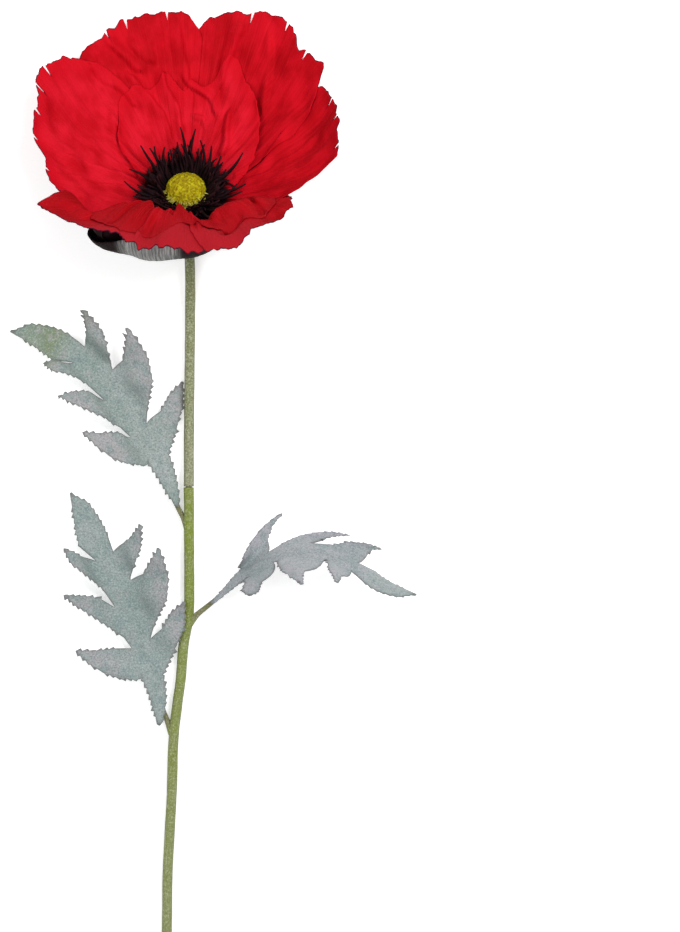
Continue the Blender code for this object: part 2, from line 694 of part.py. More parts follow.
def build_stamens(material, collection):
    draw = random.Random(7)
    (inner, low), (outer, high) = STAMEN_RING
    thick = STAMEN_RING_THICKNESS
    profile = [(inner, low), (outer, high), (outer, high + thick), (inner, low + thick), (inner, low)]
    ring = turned("stamens", profile, 24, material, collection)
    filaments = []
    for number in range(STAMEN_COUNT):
        azimuth = 360 * (number + draw.uniform(-0.3, 0.3)) / STAMEN_COUNT
        row = number % 3
        root = outer - 0.5 - 0.2 * row
        reach = draw.uniform(6, 10) + 1.0 * row
        height = draw.uniform(5, 8) + 2.5 * row
        lean = draw.uniform(-7, 7)
        points = []
        for share in (0.0, 0.4, 0.75, 1.0):
            radius = root + reach * share
            points.append(above_seat(radius, azimuth + lean * share, high + 0.3 + height * share**1.2))
        radii = [STAMEN_RADIUS * (1 - 0.55 * share) for share in (0.0, 0.4, 0.75, 1.0)]
        filaments.append(build_spike(f"filament_{number}", points, radii, collection))
    combine(ring, "UNION", filaments)
    return ring


def build_seed_pod(material, collection):
    draw = random.Random(11)
    base = POD_BASE_HEIGHT
    dome = []
    for step in range(8):
        turn = math.radians(90 - 90 * step / 7)
        height = POD_SIDE + (POD_DOME - POD_SIDE) * math.sin(turn)
        dome.append((POD_RADIUS * math.cos(turn), base + height))
    hole = PEG_RADIUS + CLEARANCE
    ceiling = base + POD_SOCKET_DEPTH
    under = [(POD_RADIUS - 1.0, base), (hole, base), (hole, ceiling), (0.0, ceiling)]
    pod = turned("seed_pod", dome + under, 24, material, collection)
    bristles = []
    for number in range(BRISTLE_COUNT):
        azimuth = 360 * (number + draw.uniform(-0.3, 0.3)) / BRISTLE_COUNT
        root = above_seat(POD_RADIUS - 1.2, azimuth, base + 1.2)
        tip = above_seat(POD_RADIUS + draw.uniform(0.5, 1.0), azimuth, base + draw.uniform(0.6, 1.6))
        bristles.append(build_spike(f"bristle_{number}", [root, tip], [0.35, 0.2], collection))
    combine(pod, "UNION", bristles)
    return pod


def main():
    for old in list(bpy.data.objects):
        bpy.data.objects.remove(old)
    poppy = bpy.data.collections.new("poppy_flower")
    bpy.context.scene.collection.children.link(poppy)
    red = plain_material("petal_red", (0.6, 0.008, 0.016), 0.6)
    grey = plain_material("calyx_grey", (0.2, 0.2, 0.19), 0.9)
    green = plain_material("stem_green", (0.2, 0.22, 0.06), 0.6)
    for number, petal in enumerate(OUTER_PETALS, 1):
        build_petal(f"petal_outer_{number}", petal, "outer", red, poppy)
    for number, petal in enumerate(INNER_PETALS, 1):
        build_petal(f"petal_inner_{number}", petal, "inner", red, poppy)
    build_calyx(grey, poppy)
    build_stem_upper(green, poppy)
    build_stem_lower(green, poppy)
    leaf_green = plain_material("leaf_green", (0.26, 0.33, 0.27), 0.8)
    net = leaf_net()
    for name, leaf in LEAVES.items():
        build_leaf(name, leaf, net, leaf_green, poppy)
    build_stamens(plain_material("stamen_black", (0.015, 0.006, 0.008), 0.6), poppy)
    build_seed_pod(plain_material("pod_yellow", (0.4, 0.32, 0.02), 0.8), poppy)


main()
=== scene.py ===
"""The looks of a cut poppy flower: fine crinkled petals, fringed stamens, a granular seed head,
flocked and veined leaves and a scuffed stem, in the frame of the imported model.

Lengths are in millimetres and angles in degrees, in the part's own frame, until MM turns them
into metres. The surfaces follow the same formulas as the part's solids, more finely.
"""

import math
import random
from collections import namedtuple

import bpy
from mathutils import Matrix, Vector, noise
from mathutils.geometry import delaunay_2d_cdt, interpolate_bezier


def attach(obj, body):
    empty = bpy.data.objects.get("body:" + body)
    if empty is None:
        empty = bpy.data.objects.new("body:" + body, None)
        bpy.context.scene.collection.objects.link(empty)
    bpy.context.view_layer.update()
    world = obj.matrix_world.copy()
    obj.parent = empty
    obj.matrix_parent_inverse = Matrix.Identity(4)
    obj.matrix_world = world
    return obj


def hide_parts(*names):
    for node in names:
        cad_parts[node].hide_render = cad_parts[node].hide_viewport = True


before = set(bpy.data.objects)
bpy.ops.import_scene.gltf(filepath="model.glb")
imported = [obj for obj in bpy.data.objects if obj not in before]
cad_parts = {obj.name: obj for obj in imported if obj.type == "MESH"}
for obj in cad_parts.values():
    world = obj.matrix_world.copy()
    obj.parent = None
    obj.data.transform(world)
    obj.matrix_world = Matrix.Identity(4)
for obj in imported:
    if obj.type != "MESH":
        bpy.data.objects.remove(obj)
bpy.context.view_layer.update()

MM = 0.001

# -------- the bloom's own frame

# How far the bloom's axis leans, and the height along it of the seat, where the petals start.
BLOOM_TILT = 38.4
SEAT_HEIGHT = -4.5
BLOOM_CENTRE = Vector((-1.0, -58.0, 16.8))


def smooth(x):
    """An even step from 0 to 1."""
    x = min(1.0, max(0.0, x))
    return x * x * (3 - 2 * x)


def mix(a, b, share):
    return a + (b - a) * share


def sine(degrees):
    return math.sin(math.radians(degrees))


def cosine(degrees):
    return math.cos(math.radians(degrees))


def wander(x, y, z):
    """Smooth noise between about -1 and 1, which swings about once in each unit."""
    return noise.noise(Vector((x, y, z)))


def read_row(row, x):
    """The value at x of a row of (x, value) pairs, by straight lines between them."""
    for (x0, v0), (x1, v1) in zip(row, row[1:]):
        if x <= x1:
            return mix(v0, v1, max(0.0, (x - x0) / (x1 - x0)))
    return row[-1][1]


def polar(radius, azimuth, height):
    """A point of the bloom's own frame, in the part's frame."""
    along = radius * sine(azimuth)
    return BLOOM_CENTRE + Vector((
        radius * cosine(azimuth),
        along * cosine(BLOOM_TILT) + height * sine(BLOOM_TILT),
        height * cosine(BLOOM_TILT) - along * sine(BLOOM_TILT),
    ))


def above_seat(radius, azimuth, height):
    """The same, with its height taken from the seat."""
    return polar(radius, azimuth, SEAT_HEIGHT + height)


def in_part(point):
    """A point given from below the bloom's centre, with its true height, in the part's frame."""
    return Vector((point[0] + BLOOM_CENTRE.x, point[1] + BLOOM_CENTRE.y, point[2]))


# -------- meshes and pieces


def add_object(name, data):
    held = bpy.data.objects.new(name, data)
    bpy.context.scene.collection.objects.link(held)
    return held


def add_piece(name, points, faces, flow, material, nodes):
    """A mesh of points in millimetres, as the piece that stands for these CAD nodes.

    flow is three numbers a point, which the material reads.
    """
    data = bpy.data.meshes.new(name)
    data.from_pydata([tuple(point * MM) for point in points], [], faces)
    held = data.attributes.new("flow", "FLOAT_VECTOR", "POINT")
    held.data.foreach_set("vector", [value for row in flow for value in row])
    data.update()
    for face in data.polygons:
        face.use_smooth = True
    data.materials.append(material)
    piece = add_object(name, data)
    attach(piece, "root")
    if nodes:
        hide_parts(*nodes)
    return piece


def grid_faces(columns, rows, closed=False, looped=False):
    """The faces of a grid. A closed one joins its last column to its first, a looped one its rows."""
    faces = []
    for column in range(columns if closed else columns - 1):
        left, right = column * rows, (column + 1) % columns * rows
        for row in range(rows if looped else rows - 1):
            after = (row + 1) % rows
            faces.append((left + row, right + row, right + after, left + after))
    return faces


def thicken(piece, thickness, back=None):
    """Gives a sheet this thickness. back is the material of its other side."""
    shell = piece.modifiers.new("shell", "SOLIDIFY")
    if back:
        piece.data.materials.append(back)
        shell.material_offset = 1
    shell.thickness = thickness * MM
    shell.offset = 0.0
    shell.use_even_offset = False


# -------- node materials


class Nodes:
    """A node material with one Principled shader, built by short calls.

    colour is its base colour so far, which tint and cover change.
    """

    def __init__(self, name, colour=None):
        self.material = bpy.data.materials.new(name)
        self.material.use_nodes = True
        self.tree = self.material.node_tree
        self.shader = self.tree.nodes["Principled BSDF"]
        self.colour = colour

    def put(self, socket, value):
        if isinstance(value, bpy.types.NodeSocket):
            self.tree.links.new(value, socket)
        else:
            socket.default_value = value

    def set(self, name, value):
        self.put(self.shader.inputs[name], value)

    def add(self, kind, inputs=(), **settings):
        """A new node of this kind, with its inputs as pairs of a name or number and a value."""
        node = self.tree.nodes.new(kind)
        for setting, value in settings.items():
            setattr(node, setting, value)
        for key, value in inputs:
            self.put(node.inputs[key], value)
        return node

    def split(self, vector):
        """The three numbers of a vector."""
        return tuple(self.add("ShaderNodeSeparateXYZ", [(0, vector)]).outputs)

    def flow(self):
        """The three numbers that the mesh holds at each point."""
        return self.split(self.add("ShaderNodeAttribute", attribute_name="flow").outputs["Vector"])

    def place(self):
        return self.add("ShaderNodeTexCoord").outputs["Object"]

    def facing(self):
        """The surface's own normal, as three numbers."""
        return self.split(self.add("ShaderNodeNewGeometry").outputs["Normal"])

    def math(self, operation, a, b):
        return self.add("ShaderNodeMath", [(0, a), (1, b)], operation=operation).outputs[0]

    def times(self, a, b):
        return self.math("MULTIPLY", a, b)

    def noise(self, vector, scale, detail, rough):
        inputs = [("Vector", vector), ("Scale", scale), ("Detail", detail), ("Roughness", rough)]
        return self.add("ShaderNodeTexNoise", inputs).outputs["Fac"]

    def streaks(self, across, along, shift, detail, rough):
        """Noise over two values, each given with how fine it is along that value."""
        inputs = enumerate((self.times(*across), self.times(*along), shift))
        vector = self.add("ShaderNodeCombineXYZ", inputs).outputs[0]
        return self.noise(vector, 1, detail, rough)

    def cells(self, vector, scale):
        inputs = [("Vector", vector), ("Scale", scale)]
        return self.add("ShaderNodeTexVoronoi", inputs).outputs["Distance"]

    def step(self, value, low, high, first=0.0, last=1.0):
        """A smooth step of value, from first at low to last at high."""
        inputs = enumerate((value, low, high, first, last))
        return self.add("ShaderNodeMapRange", inputs, interpolation_type="SMOOTHSTEP").outputs[0]

    def blend(self, share, first, last):
        """One colour turning into another, as share goes from 0 to 1."""
        colours = [(*one, 1.0) if isinstance(one, tuple) else one for one in (first, last)]
        inputs = [(0, share), (6, colours[0]), (7, colours[1])]
        return self.add("ShaderNodeMix", inputs, data_type="RGBA").outputs[2]

    def cover(self, share, colour):
        """Turns the base colour into this one by this share."""
        self.colour = self.blend(share, self.colour, colour)

    def tint(self, colour, value, low, high, most=1.0):
        """Turns the base colour into this one, by up to most, as value goes from low to high."""
        self.cover(self.step(value, low, high, 0.0, most), colour)

    def finish(self, rough, shine, height, distance, strength):
        """The material with its base colour, and with relief of this height."""
        self.set("Base Color", self.colour)
        self.set("Roughness", rough)
        self.set("Specular IOR Level", shine)
        inputs = [("Strength", strength), ("Distance", distance), ("Height", height)]
        self.set("Normal", self.add("ShaderNodeBump", inputs).outputs[0])
        return self.material


# Where the lip's dull inside and the calyx's black sides, painted shade under the bloom's front, come
# and go:
# pairs of azimuths, with none of it at the first and all of it at the second.
LIP_SIDES = ((212, 232), (318, 296))
CALYX_SHADE_SIDES = ((190, 200), (236, 228), (262, 270))


def petal_material(name, deep, bright, base_reach, rim_colour, lip=False, rim_shade=None):
    """Red cloth with fine streaks from base to rim, a black base and a thin dark rim, and, where
    rim_shade is given, painted shade darkening it towards the rim.
    """
    made = Nodes(name, deep)
    turn, reach, edge = made.flow()
    fine = made.streaks((turn, 1.1), (reach, 2.2), 0, 5, 0.6)
    broad = made.streaks((turn, 0.11), (reach, 5.5), 4, 3, 0.55)
    weave = made.noise(made.place(), 2600, 2, 0.5)
    made.tint(bright, broad, 0.34, 0.66)
    made.tint((0.36, 0.001, 0.004), fine, 0.50, 0.75, 0.35)
    made.tint((0.72, 0.016, 0.034), fine, 0.48, 0.25, 0.3)
    # Painted shade: the red turns into the rim_shade colour within 13 mm of the rim.
    if rim_shade:
        made.tint(rim_shade, edge, 13.0, 1.0, 0.9)
    if lip:
        scalloped = made.streaks((turn, 0.16), (2, 1), 0, 2, 0.4)
        milky = made.step(made.math("SUBTRACT", reach, made.times(scalloped, 0.2)), 0.75, 0.82)
        side = made.times(*[made.step(turn, *azimuths) for azimuths in LIP_SIDES])
        made.cover(made.times(made.times(milky, side), 0.85), (0.35, 0.010, 0.017))
    ragged = made.streaks((turn, 0.8), (7, 1), 0, 4, 0.7)
    limit = made.step(ragged, 0.3, 0.7, base_reach - 0.03, base_reach + 0.03)
    base = made.step(made.math("SUBTRACT", reach, limit), -0.015, 0.035)
    made.colour = made.blend(base, (0.010, 0.003, 0.004), made.colour)
    frayed = made.times(made.noise(made.place(), 900, 2, 0.5), 0.4)
    rim = made.step(made.math("SUBTRACT", edge, frayed), -0.1, 0.2)
    made.colour = made.blend(rim, rim_colour, made.colour)
    relief = made.math("ADD", made.times(fine, 0.9), made.times(weave, 0.12))
    return made.finish(made.step(weave, 0.3, 0.7, 0.60, 0.78), 0.05, relief, 0.0008, 0.7)


def leaf_material(name, teal, pale, lilac, tip):
    """Flocked cloth: a fine speckle, a bluish middle, lilac-grey lobes and darker edges."""
    made = Nodes(name, teal)
    across, along, edge = made.flow()
    place = made.place()
    speck = made.noise(place, 1300, 4, 0.75)
    grain = made.noise(place, 3600, 2, 0.6)
    mottle = made.noise(place, 170, 4, 0.7)
    patch = made.noise(place, 38, 3, 0.55)
    made.tint(pale, patch, 0.36, 0.64)
    outer = made.step(made.times(across, across), 60, 300)
    made.cover(made.times(outer, made.step(mottle, 0.35, 0.6, 0.55, 1.0)), lilac)
    end = made.step(along, 82, 94)
    made.cover(made.times(end, made.step(patch, 0.40, 0.55, 0.5, 1.0)), tip)
    made.tint((0.18, 0.25, 0.25), mottle, 0.50, 0.36, 0.6)
    made.tint(lilac, mottle, 0.54, 0.66, 0.6)
    made.tint((0.56, 0.60, 0.59), speck, 0.50, 0.74, 0.6)
    made.tint((0.13, 0.15, 0.15), speck, 0.52, 0.34, 0.75)
    made.tint((0.13, 0.12, 0.12), edge, 0.7, 0.0, 0.5)
    made.set("Sheen Weight", 0.2)
    made.set("Sheen Roughness", 0.5)
    relief = made.math("ADD", speck, made.times(grain, 0.6))
    return made.finish(made.step(grain, 0.3, 0.7, 0.78, 0.95), 0.15, relief, 0.0004, 0.7)


def stem_material(name, top, low, pale, dark, fleck):
    """Speckled green plastic with pale lengthwise scuffs, olive stalks, and flanks darkened as
    painted shade.
    """
    made = Nodes(name, top)
    around, along, radius = made.flow()
    place = made.place()
    speck = made.noise(place, 1250, 4, 0.75)
    scuff = made.streaks((around, 2.2), (along, 0.09), 0, 4, 0.6)
    made.tint(low, along, 20, 210)
    made.tint(low, made.noise(place, 60, 3, 0.6), 0.40, 0.62, 0.4)
    made.tint((0.155, 0.145, 0.075), radius, 1.75, 1.4, 0.85)
    made.tint(pale, speck, 0.50, 0.66, fleck)
    made.tint(dark, speck, 0.50, 0.34, fleck)
    made.cover(made.times(made.step(scuff, 0.58, 0.68), made.step(along, 40, 160, 0.25, 0.7)), pale)
    # Painted shade: the flanks darken as the surface turns away from facing up. The dark colour also
    # serves for the real dark flecks.
    made.tint(dark, made.facing()[2], 0.72, 0.10, 0.85)
    relief = made.math("ADD", speck, made.times(scuff, 0.7))
    return made.finish(made.step(scuff, 0.4, 0.7, 0.45, 0.65), 0.3, relief, 0.0004, 0.6)


def calyx_material():
    """Dull grey flock, streaked from base to tips, with its sides painted black as painted shade
    under the bloom.
    """
    made = Nodes("calyx_flock_shaded_sides", (0.115, 0.115, 0.113))
    turn, reach, _ = made.flow()
    streak = made.streaks((turn, 0.9), (reach, 5), 0, 5, 0.65)
    speck = made.noise(made.place(), 1600, 3, 0.6)
    made.tint((0.41, 0.41, 0.40), streak, 0.35, 0.7)
    made.tint((0.42, 0.43, 0.42), speck, 0.55, 0.75, 0.4)
    # Painted shade: the sides that lie under the bloom's front are painted black.
    left_start, left_end, right = [made.step(turn, *azimuths) for azimuths in CALYX_SHADE_SIDES]
    side = made.math("MAXIMUM", made.times(left_start, left_end), right)
    made.cover(side, (0.012, 0.005, 0.006))
    relief = made.math("ADD", streak, made.times(speck, 0.5))
    return made.finish(made.step(speck, 0.3, 0.7, 0.8, 0.95), 0.1, relief, 0.0006, 0.8)


def stamen_material():
    """Near black, a little redder towards the tips."""
    made = Nodes("stamen_dark", (0.006, 0.003, 0.004))
    tone = made.noise(made.place(), 260, 3, 0.6)
    made.tint((0.020, 0.006, 0.008), tone, 0.35, 0.7)
    made.tint((0.035, 0.007, 0.010), made.flow()[1], 0.5, 1.0, 0.5)
    return made.finish(made.step(tone, 0.3, 0.7, 0.6, 0.85), 0.08, tone, 0.0003, 0.5)


def pod_material():
    """Dry yellow-green grains, with painted shade darkening the gaps between them and the dents of
    the head.
    """
    made = Nodes("pod_grain_gap_shade", (0.36, 0.28, 0.003))
    place = made.place()
    grain = made.cells(place, 900)
    tone = made.noise(place, 350, 3, 0.6)
    made.tint((0.56, 0.51, 0.010), tone, 0.35, 0.68)
    # Painted shade in the gaps between the grains.
    made.tint((0.22, 0.17, 0.004), grain, 0.5, 0.9, 0.35)
    # Painted shade in the head's dents: the lower the point, the darker.
    raised = made.step(made.flow()[2], 0.3, 0.9)
    made.colour = made.blend(raised, (0.24, 0.17, 0.004), made.colour)
    relief = made.math("SUBTRACT", tone, grain)
    return made.finish(made.step(tone, 0.3, 0.7, 0.65, 0.85), 0.1, relief, 0.0005, 0.9)


def bristle_material():
    """Pale straw, lighter towards the tips."""
    made = Nodes("bristle_pale", (0.34, 0.26, 0.01))
    tone = made.noise(made.place(), 500, 2, 0.5)
    made.tint((0.50, 0.46, 0.04), made.flow()[1], 0.2, 0.9)
    made.tint((0.56, 0.53, 0.14), tone, 0.4, 0.7, 0.5)
    made.set("Base Color", made.colour)
    made.set("Roughness", made.step(tone, 0.3, 0.7, 0.6, 0.8))
    return made.material


# -------- petals

# Azimuth 0 points along +X, 90 to the back of the bloom and 270 to its front. A twist is how far
# a petal's edges lie off its middle, one inward and one outward: at base and rim for the outer
# petals. No sheet lies under LOWEST_PETAL, and the steps at the petals' edges are eased over
# STEP_WIDTH degrees. A rim that isn't dark counts as PLAIN_RIM further off its edge.
PETAL_HOLE_RADIUS = 4.5
PETAL_SHEET = 0.34
LOWEST_PETAL = 0.35
OUTER_TWIST = (0.4, 0.45)
INNER_TWIST = 0.4
INNER_BASE_LIFT = 2.2
STEP_WIDTH = 7.0
SLIT_HALF_WIDTH = 0.5
SLIT_SHAPE = (-1, -0.5, 0, 0.5, 1)
PLAIN_RIM = 1.2
COLUMN_SPACING, PETAL_ROWS = ((0.62, 72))

# How far each layer's rims waver in reach, and how often by azimuth, and the finer fray on that.
RIM_WAVER = {"outer": (0.018, 0.34), "inner": (0.024, 0.16)}
RIM_FRAY = (0.007, 0.9)

# The pleats that all petals share: each a height, its count round the bloom, where it starts
# and how far it drifts towards the rim.
WAVE_HEIGHT = 0.8
PLEATS = ((1.2, 7, 0.6, 0), (1.0, 11, 2.1, -2), (0.7, 18, 4.0, 3))

# The bowl's profile at seven azimuths: two handles and the rim, each a radius and a height.
BOWL_KEYS = {
    0: ((26, 0), (56, 10), (70, 39)),
    90: ((28, 1), (52, 20), (76, 41)),
    180: ((30, -1), (56, 8), (70, 38)),
    215: ((74, -8), (30, 14), (68, 33)),
    240: ((72, -8), (16, 26), (62, 32)),
    270: ((64, -8), (14, 34), (56, 30)),
    315: ((40, -5), (36, 30), (60, 33)),
}

# A petal's rim is a row of azimuths, each with how far it reaches out along the bowl, where 1
# is the bowl's rim. Its slits are azimuths with their depths. The rim is dark from the azimuth
# dark_from on, which for the inner petals is nowhere.
Petal = namedtuple("Petal", "rim slits dark_from", defaults=((), 360))
OUTER_PETALS = (
    Petal(
        ((-28, 0.55), (-18, 0.66), (-12, 0.78), (-7, 0.97), (0, 0.98), (7, 1.01), (14, 1.0),
         (22, 0.97), (28, 0.96), (36, 0.88)),
        ((-2, 0.05), (10, 0.05), (21, 0.07)), -6,
    ),
    Petal(
        ((22, 0.70), (27, 0.86), (33, 1.02), (40, 1.03), (45, 1.0), (50, 1.05), (57, 1.08),
         (64, 1.05), (70, 1.03), (77, 1.0), (82, 0.96), (86, 0.89), (92, 0.84), (100, 0.80)),
        ((42, 0.05), (54, 0.05), (67, 0.06)), 30,
    ),
    Petal(
        ((84, 0.87), (88, 0.95), (92, 0.99), (101, 0.99), (107, 1.0), (114, 1.0), (124, 0.97),
         (130, 0.96), (138, 0.90)),
        ((97, 0.04), (112, 0.05), (120, 0.04)), 89,
    ),
    Petal(
        ((119, 0.62), (122, 0.74), (127, 0.86), (134, 0.95), (139, 1.01), (145, 1.03), (151, 1.06),
         (160, 1.01), (169, 0.98), (175, 0.90), (182, 0.83), (190, 0.80), (200, 0.79), (210, 0.76),
         (222, 0.72)),
        ((148, 0.07), (156, 0.09), (165, 0.05), (173, 0.04), (184, 0.04)), 133,
    ),
    Petal(
        ((203, 0.89), (207, 0.98), (210, 1.05), (213, 1.06), (217, 1.02), (223, 0.99),
         (230, 0.97), (239, 0.97), (248, 0.99), (255, 1.0), (266, 1.02), (275, 1.03),
         (285, 0.98), (292, 0.90)),
        (), 200,
    ),
    Petal(
        ((274, 0.93), (280, 1.02), (286, 1.03), (293, 1.03), (304, 0.99), (311, 1.0), (317, 1.01),
         (323, 1.0), (327, 0.92), (334, 0.78), (345, 0.62)),
        (), 284,
    ),
)
INNER_PETALS = (
    Petal(
        ((4, 0.24), (13, 0.33), (21, 0.41), (29, 0.48), (36, 0.54), (42, 0.59), (49, 0.66),
         (55, 0.69), (60, 0.71), (64, 0.76), (68, 0.81), (71, 0.82), (73, 0.78), (75, 0.69),
         (78, 0.64), (81, 0.63), (85, 0.66), (88, 0.67), (91, 0.63), (96, 0.57)),
    ),
    Petal(
        ((86, 0.58), (89, 0.62), (92, 0.61), (95, 0.64), (99, 0.70), (102, 0.71), (105, 0.67),
         (110, 0.64), (114, 0.66), (119, 0.70), (123, 0.68), (127, 0.65), (131, 0.61),
         (137, 0.55), (145, 0.46), (152, 0.34), (158, 0.26)),
    ),
    Petal(
        ((196, 0.34), (205, 0.54), (214, 0.74), (222, 0.86), (232, 0.92), (240, 0.95), (248, 0.92),
         (255, 0.95), (262, 0.92), (270, 0.88), (280, 0.80), (288, 0.66)),
    ),
    Petal(
        ((268, 0.62), (276, 0.80), (286, 0.87), (295, 0.89), (302, 0.88), (312, 0.91), (322, 0.86),
         (332, 0.70), (342, 0.50), (350, 0.36)),
    ),
)

# How far an inner petal's rim stands off the outer layer, and how far the inner layer's front
# wall bulges in over the seed head: both as rows of azimuths with depths. The greater BULGE_PLACE
# is, the nearer to the rim the bulge is deepest.
RIM_LIFT = (
    (4, 1.8), (16, 3.4), (48, 3.8), (58, 2.4), (66, 0.7), (90, 0.6), (130, 0.6), (140, 2.4),
    (150, 3.4), (158, 3.0), (196, 1.0), (230, 0.5), (310, 0.5), (350, 1.4),
)
FRONT_BULGE = (
    (196, 0), (204, 4), (212, 9), (220, 13), (228, 14), (236, 13.5), (244, 11), (252, 8.5),
    (258, 7.5), (264, 7.5), (270, 6), (276, 5), (282, 3), (288, 2.5), (296, 6), (304, 9),
    (312, 9), (320, 7), (330, 4), (350, 0),
)
BULGE_PLACE = 2.1


def bowl_handles(azimuth):
    """The Bezier points of the bowl's profile at this azimuth."""
    azimuth %= 360
    keys = sorted(BOWL_KEYS)
    before = max(key for key in keys if key <= azimuth)
    after = min((key for key in keys if key > azimuth), default=360)
    share = smooth((azimuth - before) / (after - before))
    pairs = zip(BOWL_KEYS[before], BOWL_KEYS[after % 360])
    points = [Vector(a).lerp(Vector(b), share) for a, b in pairs]
    return [Vector((PETAL_HOLE_RADIUS, SEAT_HEIGHT)), *points]


def bowl(handles, reach, azimuth, offset):
    """The point that lies offset inside the bowl, where reach is 0 at the base and 1 at the rim."""
    a, b, c, d = handles
    rest = 1 - reach
    point = rest**3 * a + 3 * rest**2 * reach * b + 3 * rest * reach**2 * c + reach**3 * d
    way = rest**2 * (b - a) + 2 * rest * reach * (c - b) + reach**2 * (d - c)
    way.normalize()
    return polar(point.x - way.y * offset, azimuth, point.y + way.x * offset)


def waves(reach, azimuth):
    """The pleats that every petal shares."""
    turn = math.radians(azimuth)
    pleats = sum(
        height * math.sin(count * turn + start + drift * reach)
        for height, count, start, drift in PLEATS
    )
    return WAVE_HEIGHT * pleats * reach**1.6


def crinkles(reach, azimuth, seed):
    """The cloth's folds: crumples that all petals share, and each petal's own fine streaks."""
    broad = wander(azimuth * 0.055, reach * 4.2, 11)
    crumple = wander(azimuth * 0.13, reach * 8.0, 20)
    streak = wander(azimuth * 0.30, reach * 2.6, 3)
    small = wander(azimuth * 0.85, reach * 5.0, seed + 9)
    grown = smooth(reach / 0.35)
    late = smooth((reach - 0.25) / 0.4)
    return grown * (0.55 * streak + 0.14 * small + late * (2.2 * broad + 1.6 * crumple))


# Folds pressed into the cloth: a line of azimuths and reaches, with a width and a height. A fold
# rises gently on the left of its line, as seen along the line, and falls steeply on the right.
Fold = namedtuple("Fold", "line width height")
FOLDS = (
    Fold(((153, 0.20), (152, 0.28), (149, 0.38), (143, 0.50), (137, 0.60)), 5.0, 2.0),
    Fold(((115, 0.72), (110, 0.56), (105, 0.39)), 6.0, 2.2),
    Fold(((102, 0.68), (99, 0.56), (96, 0.48), (94, 0.38)), 5.5, 3.0),
    Fold(((73, 0.52), (77, 0.58), (82, 0.60), (88, 0.63), (91, 0.66)), 4.5, 2.6),
    Fold(((60, 0.52), (57, 0.45), (53, 0.40), (49, 0.33)), 4.5, 3.0),
    Fold(((84, 0.48), (79, 0.47), (76, 0.44)), 3.0, 1.7),
    Fold(((69, 0.94), (72, 0.80), (73, 0.66)), 6.5, 2.8),
    Fold(((57, 0.95), (53, 0.80), (47, 0.68)), 6.0, 2.2),
    Fold(((121, 0.60), (126, 0.74), (131, 0.88)), 6.0, 2.0),
    Fold(((112, 0.76), (116, 0.84), (121, 0.93)), 5.0, 2.4),
    Fold(((108, 0.78), (112, 0.88)), 4.5, 1.9),
    Fold(((94, 0.92), (92, 0.80), (90, 0.72)), 5.5, 1.9),
    Fold(((19, 0.30), (21, 0.46), (26, 0.64)), 3.5, 1.5),
    Fold(((12, 0.34), (13, 0.54), (15, 0.76)), 4.0, 1.3),
    Fold(((172, 0.70), (166, 0.46), (160, 0.28)), 5.0, 1.3),
    Fold(((181, 0.66), (175, 0.44), (170, 0.28)), 4.0, 1.0),
    Fold(((262, 0.60), (264, 0.78)), 5.0, -3.2),
    Fold(((292, 0.90), (302, 0.82)), 5.0, -3.0),
    Fold(((312, 0.84), (318, 0.66)), 5.0, -3.0),
    Fold(((232, 0.86), (236, 0.70)), 5.0, -2.4),
    Fold(((248, 0.92), (250, 0.74)), 4.5, 2.0),
    Fold(((216, 0.90), (222, 0.72)), 5.0, 2.4),
    Fold(((278, 0.88), (276, 0.70)), 4.5, 1.8),
)

# A fold's steep side is STEEP_SHARE as wide as its other side. It ends within FOLD_SPAN degrees
# of its start, and it wanders by FOLD_WANDER in azimuth and reach.
STEEP_SHARE = 0.35
FOLD_SPAN = 40
FOLD_WANDER = (2.4, 0.02)

# A reach of 1 in millimetres, and the bowl's radius at its base and at its rim.
REACH_LENGTH = 85
BOWL_RADII = (8, 76)


def fold_rise(azimuth, reach):
    """How far the folds lift the cloth at this place."""
    rise = 0.0
    wide = math.radians(1) * mix(*BOWL_RADII, reach)
    azimuth += FOLD_WANDER[0] * wander(azimuth * 0.1, reach * 7, 40)
    reach += FOLD_WANDER[1] * wander(azimuth * 0.1, reach * 7, 50)
    for fold in FOLDS:
        if abs(azimuth - fold.line[0][0]) > FOLD_SPAN:
            continue
        nearest, left = math.inf, False
        for start, end in zip(fold.line, fold.line[1:]):
            way = Vector(((end[0] - start[0]) * wide, (end[1] - start[1]) * REACH_LENGTH))
            place = Vector(((azimuth - start[0]) * wide, (reach - start[1]) * REACH_LENGTH))
            share = min(1.0, max(0.0, place.dot(way) / way.length_squared))
            away = (place - way * share).length
            if away < nearest:
                nearest, left = away, way.x * place.y - way.y * place.x > 0
        away = nearest / (fold.width if left else fold.width * STEEP_SHARE)
        if away < 1:
            rise += fold.height * (1 - away * away) ** 2
    return rise


def sheet_turn(petal, azimuth):
    """How far across its petal an azimuth is, from 1 at the upper edge to -1 at the lower one."""
    start, end = petal.rim[0][0], petal.rim[-1][0]
    across = min(1.0, max(-1.0, 2 * (azimuth - start) / (end - start) - 1))
    return -sine(90 * across)


def outer_top(reach, azimuth):
    """How high the uppermost outer petal lies here, with the steps at the petals' edges eased."""
    high = mix(*OUTER_TWIST, reach)
    top = -high
    for petal in OUTER_PETALS:
        for turned in (azimuth - 360, azimuth):
            own = high * sheet_turn(petal, turned)
            before = petal.rim[0][0] - STEP_WIDTH
            if before < turned < petal.rim[-1][0] and own > top:
                top = mix(top, own, smooth((turned - before) / STEP_WIDTH))
    return top


def petal_offset(petal, layer, azimuth, reach, share):
    """How far inside the bowl the petal's sheet lies."""
    offset = waves(reach, azimuth) + fold_rise(azimuth, reach)
    if layer == "outer":
        return offset + mix(*OUTER_TWIST, reach) * sheet_turn(petal, azimuth)
    offset += outer_top(reach, azimuth) + INNER_TWIST * sheet_turn(petal, azimuth)
    offset += mix(INNER_BASE_LIFT, read_row(RIM_LIFT, azimuth), smooth(share))
    return offset + read_row(FRONT_BULGE, azimuth) * math.sin(math.pi * share**BULGE_PLACE) ** 2


